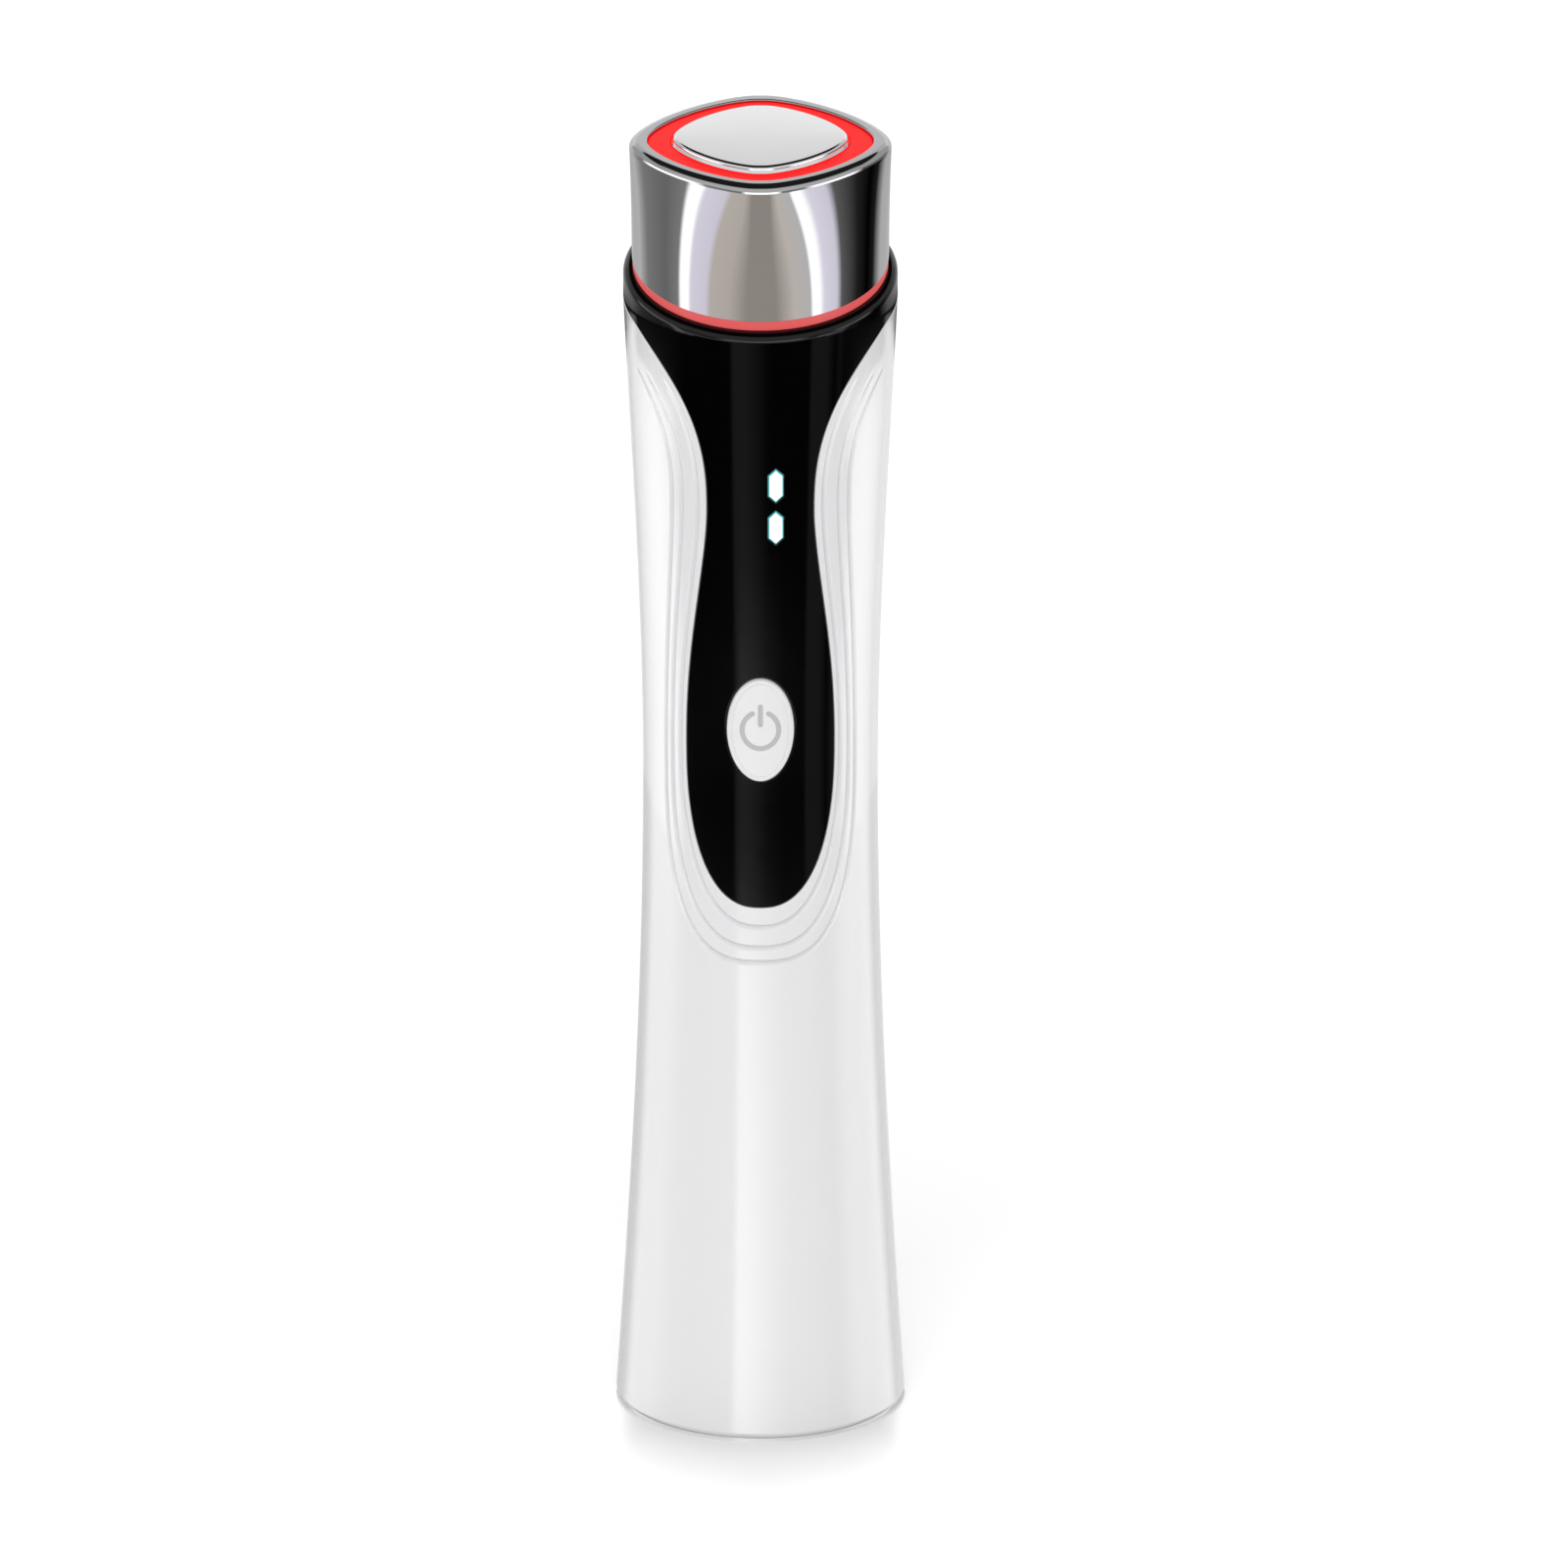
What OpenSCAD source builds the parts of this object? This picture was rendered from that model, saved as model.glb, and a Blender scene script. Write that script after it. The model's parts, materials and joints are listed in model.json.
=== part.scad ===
// Handheld microcurrent facial massager, standing on its base.
// Millimetres, Z up, origin at the centre of the base, control panel towards -Y.

/* [Handle] */
// Height on the axis of the slanted plane where the collar ends
collar_z = 148.7; // [146:0.1:154]
// Height of the narrowest place of the handle
waist_z = 83; // [78:1:88]
// Diameter at the foot
foot_d = 35.9; // [35:0.1:38]
// Diameter at the waist
waist_d = 29; // [28.8:0.1:31]
// Diameter at the collar
collar_d = 33.8; // [33.6:0.1:35]
// Wall of the two shells
wall = 2.2; // [2.1:0.05:2.4]
// Radius of the rounded foot edge
foot_edge_r = 0.9; // [0.5:0.1:2]
// Step from the table up to the shells' lower edge
foot_step = 0.5; // [0.3:0.1:1]

/* [Black panel and collar] */
// Thickness of the panel, and depth of its recess
panel_t = 1.2; // [1:0.05:1.3]
// Height of the collar band at the sides and back
collar_h = 3.9; // [3.4:0.1:5]
// Forward lean of the collar and of the light ring, in degrees
ring_lean = 11; // [8:0.5:12]
// Height of the goblet's lowest point
goblet_low_z = 69.6; // [66:0.2:72]
// Height of the goblet's widest place
goblet_wide_z = 91; // [88:0.5:94]
// Half width of the goblet there
goblet_wide = 9.15; // [8.2:0.05:9.6]
// Height of the goblet's narrowest place
goblet_neck_z = 121.5; // [118:0.5:124]
// Half width of the goblet there
goblet_neck = 6.6; // [6:0.1:7.4]
// Rounding of the collar's upper edge
collar_edge_r = 1; // [0.6:0.1:2]

/* [Ripple lines] */
// How far each line lies below the goblet's lowest point
ripple_drop = [2.6, 5.3, 7.2];
// How far each line lies outside the goblet's widest place
ripple_wide = [0.7, 1.7, 2.5];
// How far each line lies outside the goblet's narrowest place
ripple_neck = [1.2, 3.1, 4.3];
// Width of a line
ripple_w = 0.7; // [0.4:0.05:0.9]
// Depth of a line
ripple_depth = 0.25; // [0.15:0.05:0.4]

/* [Head] */
// Height of the chrome head above the light ring, on the axis
head_h = 15.05; // [14:0.05:18]
// Diameter of the head at its lower edge
head_low_d = 31.7; // [31.4:0.1:32]
// Width of the head's top over its four corners
head_corner_d = 32.7; // [32.2:0.1:33.4]
// Width of the head's top over its four sides
head_side_d = 29.6; // [29.4:0.1:31]
// Wall of the chrome head
head_wall = 1.2; // [1:0.05:1.2]
// Radius of the head's top edge
head_edge_r = 0.8; // [0.4:0.1:1]
// Height of the red light ring under the head
ring_h = 1.25; // [1.2:0.05:2]
// Outer diameter of the red light ring under the head
ring_d = 31.5; // [31.2:0.1:31.7]
// Width over corners of the red ring round the contact plate
halo_d = 28; // [27.4:0.1:28.2]
// Width over corners of the contact plate
plate_d = 22.2; // [20:0.2:23]
// How far the contact plate stands above the red ring
plate_rise = 1; // [0.5:0.1:1.5]
// Outer diameter of the moulded core inside the head
core_d = 27.2; // [26.8:0.1:27.3]

/* [Button and windows] */
// Width of the oval button
button_w = 8.3; // [7:0.1:9]
// Height of the oval button
button_h = 13.5; // [11:0.1:15]
// Height of the button's centre
button_z = 93; // [90:0.5:96]
// How far the button stands out of the panel
button_rise = 0.6; // [0.4:0.05:1]
// Travel of the button
button_travel = 0.35; // [0.2:0.05:0.4]
// Width of an indicator window
window_w = 1.9; // [1.4:0.1:2.2]
// Height of an indicator window
window_h = 4.5; // [3.6:0.1:5]
// Distance between the two windows
window_pitch = 5.6; // [5.4:0.1:6]
// Height of the lower window's centre
window_z = 119.8; // [116:0.2:121]
// Distance of the windows from the middle
window_x = 1.9; // [1.4:0.1:2.4]

/* [Electronics] */
// Width of the main board
board_w = 18; // [17:0.2:18.4]
// Height of the main board's lower edge
board_low = 71; // [69:0.5:73]
// Height of the main board's upper edge
board_high = 129.5; // [128.5:0.5:130]
// Thickness of the main board
board_t = 1.6; // [1:0.1:1.8]
// Height of the push switch, without its plunger
switch_h = 3.5; // [3:0.1:4]
// Diameter of the cell
cell_d = 14; // [13:0.1:14.2]
// Length of the cell
cell_l = 50; // [44:0.5:50.5]
// Height of the cell's lower end
cell_low = 16; // [15.5:0.1:16.4]
// Width of the charging socket
port_w = 8.94; // [8.9:0.01:9]
// Depth of the charging socket
port_h = 3.26; // [3.2:0.01:3.3]
// Diameter of the vibration motor
motor_d = 7; // [6:0.1:7.4]
// Length of the vibration motor
motor_l = 15; // [12:0.5:15.5]
// Diameter of the motor shaft
shaft_d = 1; // [0.8:0.05:1.2]

/* [Fits] */
// Clearance between fixed pieces that lie in each other
fit = 0.1; // [0.05:0.01:0.12]
// Clearance between flat faces that rest on each other
seat = 0.02; // [0.01:0.01:0.05]
// Clearance round the button
button_fit = 0.18; // [0.12:0.01:0.25]
// Radial running clearance of shaft and plunger
running_fit = 0.03; // [0.02:0.01:0.05]

/* [Hidden] */
$fn = 64;
far = 60;

shell_white = [0.94, 0.94, 0.95];
panel_black = [0.03, 0.03, 0.035];
glow_red = [0.95, 0.12, 0.12];
steel = [0.78, 0.79, 0.80];
board_green = [0.05, 0.30, 0.16];
moulded_grey = [0.55, 0.56, 0.58];

// Handle profile: two flares that leave the waist smoothly.
// Fullness is how early a flare starts to open.
top_fullness = 1.8;
foot_fullness = 1.3;
profile_step = 5;
crown_z = collar_z - collar_h;
function flare(u, fullness) = u * u * (fullness + (1 - fullness) * u);
function body_r(z) = waist_d / 2 + (z > waist_z
    ? (collar_d - waist_d) / 2 * flare(min(1, (z - waist_z) / (crown_z - waist_z)), top_fullness)
    : (foot_d - waist_d) / 2 * flare((waist_z - z) / waist_z, foot_fullness));
function stations(low, high) = [low,
    each [for (i = [ceil((low + 0.5) / profile_step) : floor((high - 0.5) / profile_step)])
        i * profile_step], high];

// Solid of revolution that follows the handle's surface, a set depth below it
module turned(inset, low, high) {
    rotate_extrude() polygon([[0, low], for (z = stations(low, high)) [body_r(z) - inset, z],
        [0, high]]);
}

module tube(outer, inner, low, high) {
    translate([0, 0, low]) difference() {
        cylinder(r = outer, h = high - low);
        translate([0, 0, -1]) cylinder(r = inner, h = high - low + 2);
    }
}

module front_half() { translate([-far, -far, -far]) cube([2 * far, far, 6 * far]); }
module rear_half() { translate([-far, 0, -far]) cube([2 * far, far, 6 * far]); }

// The two sides of a plane that leans forward and crosses the axis at a height
module above(z) {
    translate([0, 0, z]) rotate([ring_lean, 0, 0]) translate([-far, -far, 0]) cube(2 * far);
}
module below(z) {
    translate([0, 0, z]) rotate([ring_lean, 0, 0]) translate([-far, -far, -4 * far])
        cube([2 * far, 2 * far, 4 * far]);
}
function lean_z(z, y) = z + y * tan(ring_lean);

// Extrudes a front view, drawn in X and Z, between two distances in front of the axis
module facing(near, reach) {
    translate([0, -near, 0]) rotate([90, 0, 0]) linear_extrude(reach - near) children();
}

function ellipse(w, h, z, n = 48) = [for (i = [0 : n - 1])
    [w / 2 * cos(360 * i / n), z + h / 2 * sin(360 * i / n)]];

// Goblet outline: a full bowl, a long drawn-in neck and a flare up to the collar
bowl_fullness = 2.5;
neck_skew = 0.8;
flare_power = 2.5;
bowl_points = 12;
neck_points = 8;
flare_points = 10;
function bowl_point(a, low, wide, full) = [wide * pow(sin(a), 2 / full),
    goblet_wide_z - (goblet_wide_z - low) * pow(cos(a), 2 / full)];
function neck_half(z, wide, neck) = neck + (wide - neck)
    * (1 - cos(180 * pow((goblet_neck_z - z) / (goblet_neck_z - goblet_wide_z), neck_skew))) / 2;
function flare_half(z, neck) = neck + (collar_d / 2 - goblet_neck)
    * pow((z - goblet_neck_z) / (crown_z - goblet_neck_z), flare_power);
function right_side(low, wide, neck, full, top) = [
    for (i = [0 : bowl_points - 1]) bowl_point(90 * i / bowl_points, low, wide, full),
    for (i = [0 : neck_points - 1])
        let (z = goblet_wide_z + (goblet_neck_z - goblet_wide_z) * i / neck_points)
        [neck_half(z, wide, neck), z],
    for (i = [0 : flare_points])
        let (z = goblet_neck_z + (top - goblet_neck_z) * i / flare_points)
        [flare_half(z, neck), z]];
function both_sides(p) = [for (i = [len(p) - 1 : -1 : 1]) [-p[i].x, p[i].y], each p];
function goblet_path() =
    both_sides(right_side(goblet_low_z, goblet_wide, goblet_neck, bowl_fullness, crown_z));

// Moves an open path sideways, along its own normals
function turn_right(v) = [v.y, -v.x] / norm(v);
function shifted(p, d) = [for (i = [0 : len(p) - 1])
    p[i] + d * turn_right(p[min(i + 1, len(p) - 1)] - p[max(i - 1, 0)])];

module goblet_prism(gap = 0) {
    facing(0, far) polygon([[-far, crown_z - gap], each shifted(goblet_path(), gap),
        [far, crown_z - gap], [far, collar_z + far], [-far, collar_z + far]]);
}

// The panel's skin lies in the goblet in front and in the collar band all round
module panel_zone(gap = 0) {
    goblet_prism(gap);
    above(crown_z - gap);
}

// Rounded shoulder under the slanted collar plane
module shoulder() {
    reach = collar_d / 2 / cos(ring_lean);
    steps = 6;
    translate([0, 0, collar_z]) rotate([ring_lean, 0, 0]) rotate_extrude()
        polygon([[0, -2 * far], [far, -2 * far], [far, -collar_edge_r],
            for (i = [0 : steps]) let (a = 90 * i / steps)
                [reach - collar_edge_r * (1 - cos(a)), collar_edge_r * (sin(a) - 1)],
            [0, 0]]);
}

// Handle shells
lip_h = 1.5;
shell_top = collar_z - lip_h;
recess = panel_t + fit;
module shell_blank() {
    edge_steps = 8;
    edge_z = foot_step + foot_edge_r;
    edge_x = body_r(edge_z) - foot_edge_r;
    top = collar_z + far / 6;
    difference() {
        rotate_extrude() polygon([[0, foot_step],
            for (i = [0 : edge_steps]) let (a = 90 * i / edge_steps)
                [edge_x + foot_edge_r * sin(a), edge_z - foot_edge_r * cos(a)],
            for (z = stations(edge_z + 1, top)) [body_r(z), z],
            [0, top]]);
        turned(wall, -1, top + 1);
        above(shell_top);
        difference() {
            intersection() {
                turned(-1, goblet_low_z - 5, top + 2);
                panel_zone(fit);
            }
            turned(recess, goblet_low_z - 6, top + 3);
        }
    }
}

// Inside ribs that trap the flange of the head's core
core_r = core_d / 2;
core_wall = 1.4;
neck_r = core_r - 0.8;
flange_r = neck_r + 1.2;
flange_h = 4.2;
flange_z = crown_z - 8.4;
rib_t = 1.6;
rib_gap = 2 * fit;
module neck_ribs() {
    for (z = [flange_z - rib_gap - rib_t, flange_z + flange_h + rib_gap])
        difference() {
            turned(wall / 2 + 0.3, z, z + rib_t);
            translate([0, 0, z - 1]) cylinder(r = neck_r + rib_gap, h = rib_t + 2);
        }
}

// Tongue and groove along the seam
seam_inset = 0.75;
seam_t = 0.7;
seam_h = 1;
seam_low = 6;
module seam(gap) {
    intersection() {
        difference() {
            turned(seam_inset - gap, seam_low - gap, flange_z + gap);
            turned(seam_inset + seam_t + gap, seam_low - 1, flange_z + 1);
        }
        translate([-far, -seam_h - gap, 0]) cube([2 * far, seam_h + gap + 0.2, 4 * far]);
    }
}

// Bosses for the two screws of the base cap
cap_h = 3;
boss_y = 12.4;
boss_r = 2.3;
boss_top = 11;
screw_r = 0.8;
pilot_r = 0.85;
module base_boss(side) {
    difference() {
        union() {
            translate([0, side * boss_y, cap_h + fit]) cylinder(r = boss_r, h = boss_top - cap_h - fit);
            intersection() {
                turned(wall / 2, cap_h + fit, boss_top);
                translate([-1, side > 0 ? boss_y : -far, 0]) cube([2, far - boss_y, far]);
            }
        }
        translate([0, side * boss_y, 0]) cylinder(r = pilot_r, h = boss_top - 1);
    }
}

// Stack behind the button, measured inwards from the shell's inner face
button_face_r = body_r(button_z);
inner_r = button_face_r - wall;
keeper_t = 0.9;
plunger_rise = 0.9;
boss_len = 0.85;
board_front = inner_r - fit - keeper_t - boss_len - plunger_rise - switch_h;
board_back = board_front - board_t;
post_r = 1.9;
post_x = board_w / 2 - 2.4;
post_low = board_low + 4.5;
post_high = 111.5;
module at_posts() {
    for (x = [-post_x, post_x], z = [post_low, post_high]) translate([x, 0, z]) children();
}
module board_posts() {
    intersection() {
        turned(recess + 0.3, board_low - 5, board_high);
        at_posts() rotate([90, 0, 0]) translate([0, 0, board_front]) cylinder(r = post_r, h = far);
    }
}
module post_pilots() {
    at_posts() rotate([90, 0, 0]) translate([0, 0, board_front - 1]) cylinder(r = pilot_r, h = 4.5);
}

// Light guide behind the two windows
guide_w = window_w + 2.4;
guide_h = window_pitch + window_h + 2.2;
guide_z = window_z + window_pitch / 2;
module window_shapes(grow = 0) {
    tip = 0.9;
    w = window_w / 2 + grow;
    h = window_h / 2 + grow;
    for (i = [0, 1]) translate([window_x, window_z + i * window_pitch])
        polygon([[0, -h], [w, tip - h], [w, h - tip], [0, h], [-w, h - tip], [-w, tip - h]]);
}
module guide_block(gap = 0) {
    translate([window_x - guide_w / 2 - gap, guide_z - guide_h / 2 - gap])
        square([guide_w + 2 * gap, guide_h + 2 * gap]);
}

// Two pegs locate the panel in the shell
peg_r = 0.9;
peg_z = [goblet_low_z + 9, goblet_neck_z - 15];

module button_hole(gap) {
    facing(0, far) polygon(ellipse(button_w + 2 * gap, button_h + 2 * gap, button_z));
}

// One ripple line: a shallow groove that fades out before it reaches the collar
fade_low = goblet_neck_z + 2;
fade_high = crown_z - 7;
function groove_depth(z) = ripple_depth
    * (1 - max(0, min(1, (z - fade_low) / (fade_high - fade_low))));
module ripple(i) {
    path = both_sides(right_side(goblet_low_z - ripple_drop[i], goblet_wide + ripple_wide[i],
        goblet_neck + ripple_neck[i], bowl_fullness + i * 0.35, fade_high));
    outer = shifted(path, ripple_w / 2);
    inner = shifted(path, -ripple_w / 2);
    facing(0, far) polygon([each outer, for (j = [len(inner) - 1 : -1 : 0]) inner[j]]);
}
module ripples() {
    low = goblet_low_z - max(ripple_drop) - 2;
    difference() {
        intersection() {
            turned(-1, low, fade_high);
            union() { for (i = [0 : len(ripple_drop) - 1]) ripple(i); }
        }
        rotate_extrude() polygon([[0, low - 1],
            for (z = stations(low - 1, fade_high + 1)) [body_r(z) - groove_depth(z), z],
            [0, fade_high + 1]]);
    }
}

// Cell and the ribs that hold it
cell_y = 1.5;
cell_r = cell_d / 2;
cell_high = cell_low + cell_l;
saddle_t = 1.6;
module saddles() {
    for (z = [cell_low + 8, cell_low + cell_l / 2, cell_high - 8])
        difference() {
            turned(wall / 2, z - saddle_t / 2, z + saddle_t / 2);
            translate([0, cell_y, 0]) cylinder(r = cell_r + fit, h = 2 * far);
        }
    for (z = [cell_low - 0.5 - saddle_t, cell_high + 0.5])
        difference() {
            turned(wall / 2, z, z + saddle_t);
            translate([0, cell_y, 0]) cylinder(r = cell_r - 2.5, h = 2 * far);
        }
}
module cell_fins() {
    for (z = [cell_low + 8, cell_high - 8])
        intersection() {
            turned(wall / 2, z - saddle_t / 2, z + saddle_t / 2);
            difference() {
                translate([-2, -far, 0]) cube([4, far, 2 * far]);
                translate([0, cell_y, 0]) cylinder(r = cell_r + fit, h = 2 * far);
            }
        }
}

module front_shell() {
    color(shell_white) difference() {
        union() {
            intersection() {
                shell_blank();
                front_half();
            }
            intersection() {
                front_half();
                union() {
                    neck_ribs();
                    cell_fins();
                }
            }
            board_posts();
            base_boss(-1);
        }
        seam(fit);
        ripples();
        post_pilots();
        intersection() {
            button_hole(button_fit + fit);
            turned(-1, button_z - button_h, button_z + button_h);
        }
        facing(0, far) guide_block(fit);
        for (z = peg_z) translate([0, 0, z]) rotate([90, 0, 0]) cylinder(r = peg_r + fit, h = far);
    }
}

module rear_shell() {
    color(shell_white) {
        intersection() {
            rear_half();
            union() {
                shell_blank();
                neck_ribs();
                saddles();
            }
        }
        seam(0);
        base_boss(1);
    }
}

// Black panel and collar in one moulding
module front_panel() {
    peg_len = wall - recess + 0.6;
    color(panel_black) difference() {
        union() {
            intersection() {
                shoulder();
                panel_zone();
                difference() {
                    turned(0, goblet_low_z - 1, collar_z + far / 6);
                    turned(panel_t, goblet_low_z - 2, collar_z + far / 5);
                }
            }
            intersection() {
                shoulder();
                above(shell_top + fit);
                tube(collar_d / 2 - panel_t / 2, core_r + fit, crown_z - far / 5, collar_z + far / 5);
            }
            for (z = peg_z) translate([0, -body_r(z) + panel_t / 2, z]) rotate([-90, 0, 0])
                cylinder(r = peg_r, h = panel_t / 2 + peg_len);
        }
        button_hole(button_fit);
        facing(0, far) window_shapes(fit / 2);
    }
}

// Base cap with the charging socket's opening and the rails of its board
cap_r = body_r(cap_h) - wall - 1.5 * fit;
port_low = 0.3;
port_l = 7.3;
rail_x = 6.9;
charge_w = 16;
charge_t = 1;
charge_top = 13.5;
head_r = 2;
head_t = 1.2;
module slot_shape(w, h) {
    square([w - h, h], center = true);
    for (x = [-1, 1]) translate([x * (w - h) / 2, 0]) circle(d = h);
}
module base_cap() {
    color(shell_white) difference() {
        union() {
            cylinder(r = body_r(0) - foot_edge_r + 0.2, h = foot_step);
            cylinder(r = cap_r, h = cap_h);
            for (side = [-1, 1]) translate([side > 0 ? rail_x : -rail_x - 2.2, port_h / 2 - 1, 0])
                cube([2.2, charge_t + 2, cap_h + 5]);
        }
        translate([0, 0, -1]) linear_extrude(cap_h + 2) slot_shape(port_w + 2 * fit, port_h + 2 * fit);
        translate([-charge_w / 2 - fit, port_h / 2 - fit, cap_h])
            cube([charge_w + 2 * fit, charge_t + 2 * fit, far]);
        for (side = [-1, 1]) translate([0, side * boss_y, 0]) {
            translate([0, 0, -1]) cylinder(r = screw_r + 0.3, h = cap_h + 2);
            translate([0, 0, -1]) cylinder(r = head_r + 2 * fit, h = 1 + port_low + head_t);
        }
    }
}

module base_screws() {
    color(steel) for (side = [-1, 1]) translate([0, side * boss_y, port_low]) difference() {
        union() {
            cylinder(r = head_r, h = head_t);
            cylinder(r = screw_r, h = boss_top - 2 - port_low);
        }
        translate([0, 0, -1]) linear_extrude(1.6) {
            square([2, 0.5], center = true);
            square([0.5, 2], center = true);
        }
    }
}

module usb_port() {
    color(steel) translate([0, 0, port_low]) difference() {
        linear_extrude(port_l) slot_shape(port_w, port_h);
        translate([0, 0, -1]) linear_extrude(port_l + 2) slot_shape(port_w - 0.6, port_h - 0.6);
    }
}

module usb_tongue() {
    back_t = 1.3;
    color(panel_black) translate([0, 0, port_low]) {
        translate([0, 0, port_l - back_t]) linear_extrude(back_t)
            slot_shape(port_w - 0.6 - fit, port_h - 0.6 - fit);
        translate([-3.35, -0.35, 0.8]) cube([6.7, 0.7, port_l - back_t]);
    }
}

module charge_board() {
    color(board_green) translate([-charge_w / 2, port_h / 2, cap_h])
        cube([charge_w, charge_t, charge_top - cap_h]);
}

// Light ring between collar and head, a level bore cut by two leaning planes
module collar_light_ring() {
    color(glow_red) intersection() {
        tube(ring_d / 2, core_r + fit, collar_z - far / 6, collar_z + far / 6);
        above(collar_z + seat);
        below(collar_z + ring_h);
    }
}

// A loft through rings of points, each with the same number of points.
// It closes on itself, or has a flat cap at each end.
module loft(rings, closed = false) {
    n = len(rings[0]);
    m = len(rings);
    last = closed ? m - 1 : m - 2;
    polyhedron(points = [for (r = rings) each r], faces = [
        for (i = [0 : last], j = [0 : n - 1])
            let (a = i * n, b = ((i + 1) % m) * n, k = (j + 1) % n)
            each [[a + j, b + k, a + k], [a + j, b + j, b + k]],
        if (!closed) [for (j = [0 : n - 1]) j],
        if (!closed) [for (j = [n - 1 : -1 : 0]) (m - 1) * n + j]]);
}

// Rounded diamond: a superellipse with its corners on the axes and bulging sides between them
loft_sides = 64;
function diamond_r(a, corner, side) = let (power = 1 / (0.5 - ln(side / corner) / ln(2)))
    corner / pow(pow(abs(cos(a)), power) + pow(abs(sin(a)), power), 1 / power);
function diamond_ring(corner, side, z) = [for (i = [0 : loft_sides - 1])
    let (a = 360 * i / loft_sides, r = diamond_r(a, corner, side)) [r * cos(a), r * sin(a), z]];

// Chrome head: a leaning round lower edge that turns into a level rounded diamond
head_z = collar_z + ring_h;
rim_z = head_z + head_h;
halo_sink = 0.3;
halo_t = 1.5;
halo_z = rim_z - halo_sink;
halo_side = head_side_d / head_corner_d * halo_d;
lip_t = 1;
rim_under = halo_z - halo_t + fit / 2;
function head_point(a, t, inset, top) = let (
    lower = head_low_d / 2 - inset,
    r = lower + (diamond_r(a, head_corner_d / 2, head_side_d / 2) - inset - lower) * t * t,
    foot = lean_z(head_z + fit / 2, r * sin(a)))
    [r * cos(a), r * sin(a), foot + (top - foot) * t];
function head_ring(t, inset, top) =
    [for (i = [0 : loft_sides - 1]) head_point(360 * i / loft_sides, t, inset, top)];
module head_barrel() {
    wall_steps = 6;
    edge_steps = 3;
    edge_z = rim_z - head_edge_r;
    corner = head_corner_d / 2;
    side = head_side_d / 2;
    color(steel) loft(closed = true, rings = [
        for (i = [0 : wall_steps]) head_ring(i / wall_steps, 0, edge_z),
        for (i = [1 : edge_steps]) let (b = 90 * i / edge_steps, d = head_edge_r * (1 - cos(b)))
            diamond_ring(corner - d, side - d, edge_z + head_edge_r * sin(b)),
        diamond_ring(halo_d / 2 + fit, halo_side / 2 + fit, rim_z),
        diamond_ring(halo_d / 2 + fit, halo_side / 2 + fit, rim_under),
        for (i = [wall_steps : -1 : 0]) head_ring(i / wall_steps, head_wall, rim_under)]);
}

// Red ring in the top: the lit band and the hidden flange under it
lip_z = halo_z - halo_t - lip_t;
plate_side = head_side_d / head_corner_d * plate_d;
module top_light_ring() {
    out = 0.6;
    color(glow_red) loft(closed = true, rings = [
        diamond_ring(halo_d / 2 + out, halo_side / 2 + out, lip_z),
        diamond_ring(halo_d / 2 + out, halo_side / 2 + out, lip_z + lip_t),
        diamond_ring(halo_d / 2, halo_side / 2, lip_z + lip_t),
        diamond_ring(halo_d / 2, halo_side / 2, halo_z),
        diamond_ring(plate_d / 2 + fit, plate_side / 2 + fit, halo_z),
        diamond_ring(plate_d / 2 + fit, plate_side / 2 + fit, lip_z + lip_t),
        diamond_ring(plate_d / 2 - 1.5, plate_side / 2 - 1.5, lip_z + lip_t),
        diamond_ring(plate_d / 2 - 1.5, plate_side / 2 - 1.5, lip_z)]);
}

// Contact plate with a threaded stud that passes through the deck of the core
stud_r = 1.5;
deck_top = lip_z - 2.7;
deck_t = 2;
deck_low = deck_top - deck_t;
nut_t = 2.2;
tag_t = 0.4;
stud_low = deck_low - tag_t - nut_t - 1;
module contact_plate() {
    edge = 0.7;
    crown = 0.15;
    top = halo_z + plate_rise;
    low = lip_z + lip_t + fit / 2;
    steps = 3;
    color(steel) {
        loft([diamond_ring(plate_d / 2, plate_side / 2, low),
            for (i = [0 : steps]) let (b = 90 * i / steps, d = edge * (1 - cos(b)))
                diamond_ring(plate_d / 2 - d, plate_side / 2 - d, top - crown - edge * (1 - sin(b))),
            diamond_ring(plate_d / 4, plate_side / 4, top)]);
        translate([0, 0, deck_top]) cylinder(r = 2.8, h = low - deck_top + 0.5);
        translate([0, 0, stud_low]) cylinder(r = stud_r, h = low - stud_low);
    }
}

module plate_terminal() {
    color("gold") translate([0, 0, deck_low - tag_t]) linear_extrude(tag_t) difference() {
        union() {
            circle(r = 3.2);
            translate([-6.4, -1.1]) square([4, 2.2]);
        }
        circle(r = stud_r + fit);
    }
}

module plate_nut() {
    color(steel) translate([0, 0, deck_low - tag_t - nut_t]) difference() {
        cylinder(r = 3.1, h = nut_t, $fn = 6);
        translate([0, 0, -1]) cylinder(r = stud_r + fit / 2, h = nut_t + 2);
    }
}

// Moulded core: flange in the handle, tube in the head, deck for the electrodes
inner_low_r = neck_r - core_wall;
inner_high_r = core_r - core_wall;
core_low = flange_z - 3.4;
core_step_z = flange_z + flange_h + 2 * rib_gap + rib_t;
band_low = deck_low - 3.4;
leaf_w = 3;
leaf_t = 0.25;
boot_t = 1;
motor_r = motor_d / 2;
boot_r = motor_r + fit / 2 + boot_t;
socket_h = 10;
strip_mid = collar_z + ring_h / 2;
lamp_count = 6;
module around(count, first = 0) {
    for (i = [0 : count - 1]) rotate(first + 360 * i / count) children();
}
module lamp_places() {
    for (i = [0 : lamp_count - 1]) let (a = 30 + 360 * i / lamp_count)
        translate([0, 0, lean_z(strip_mid, core_r * sin(a))]) rotate(a) children();
}
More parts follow.
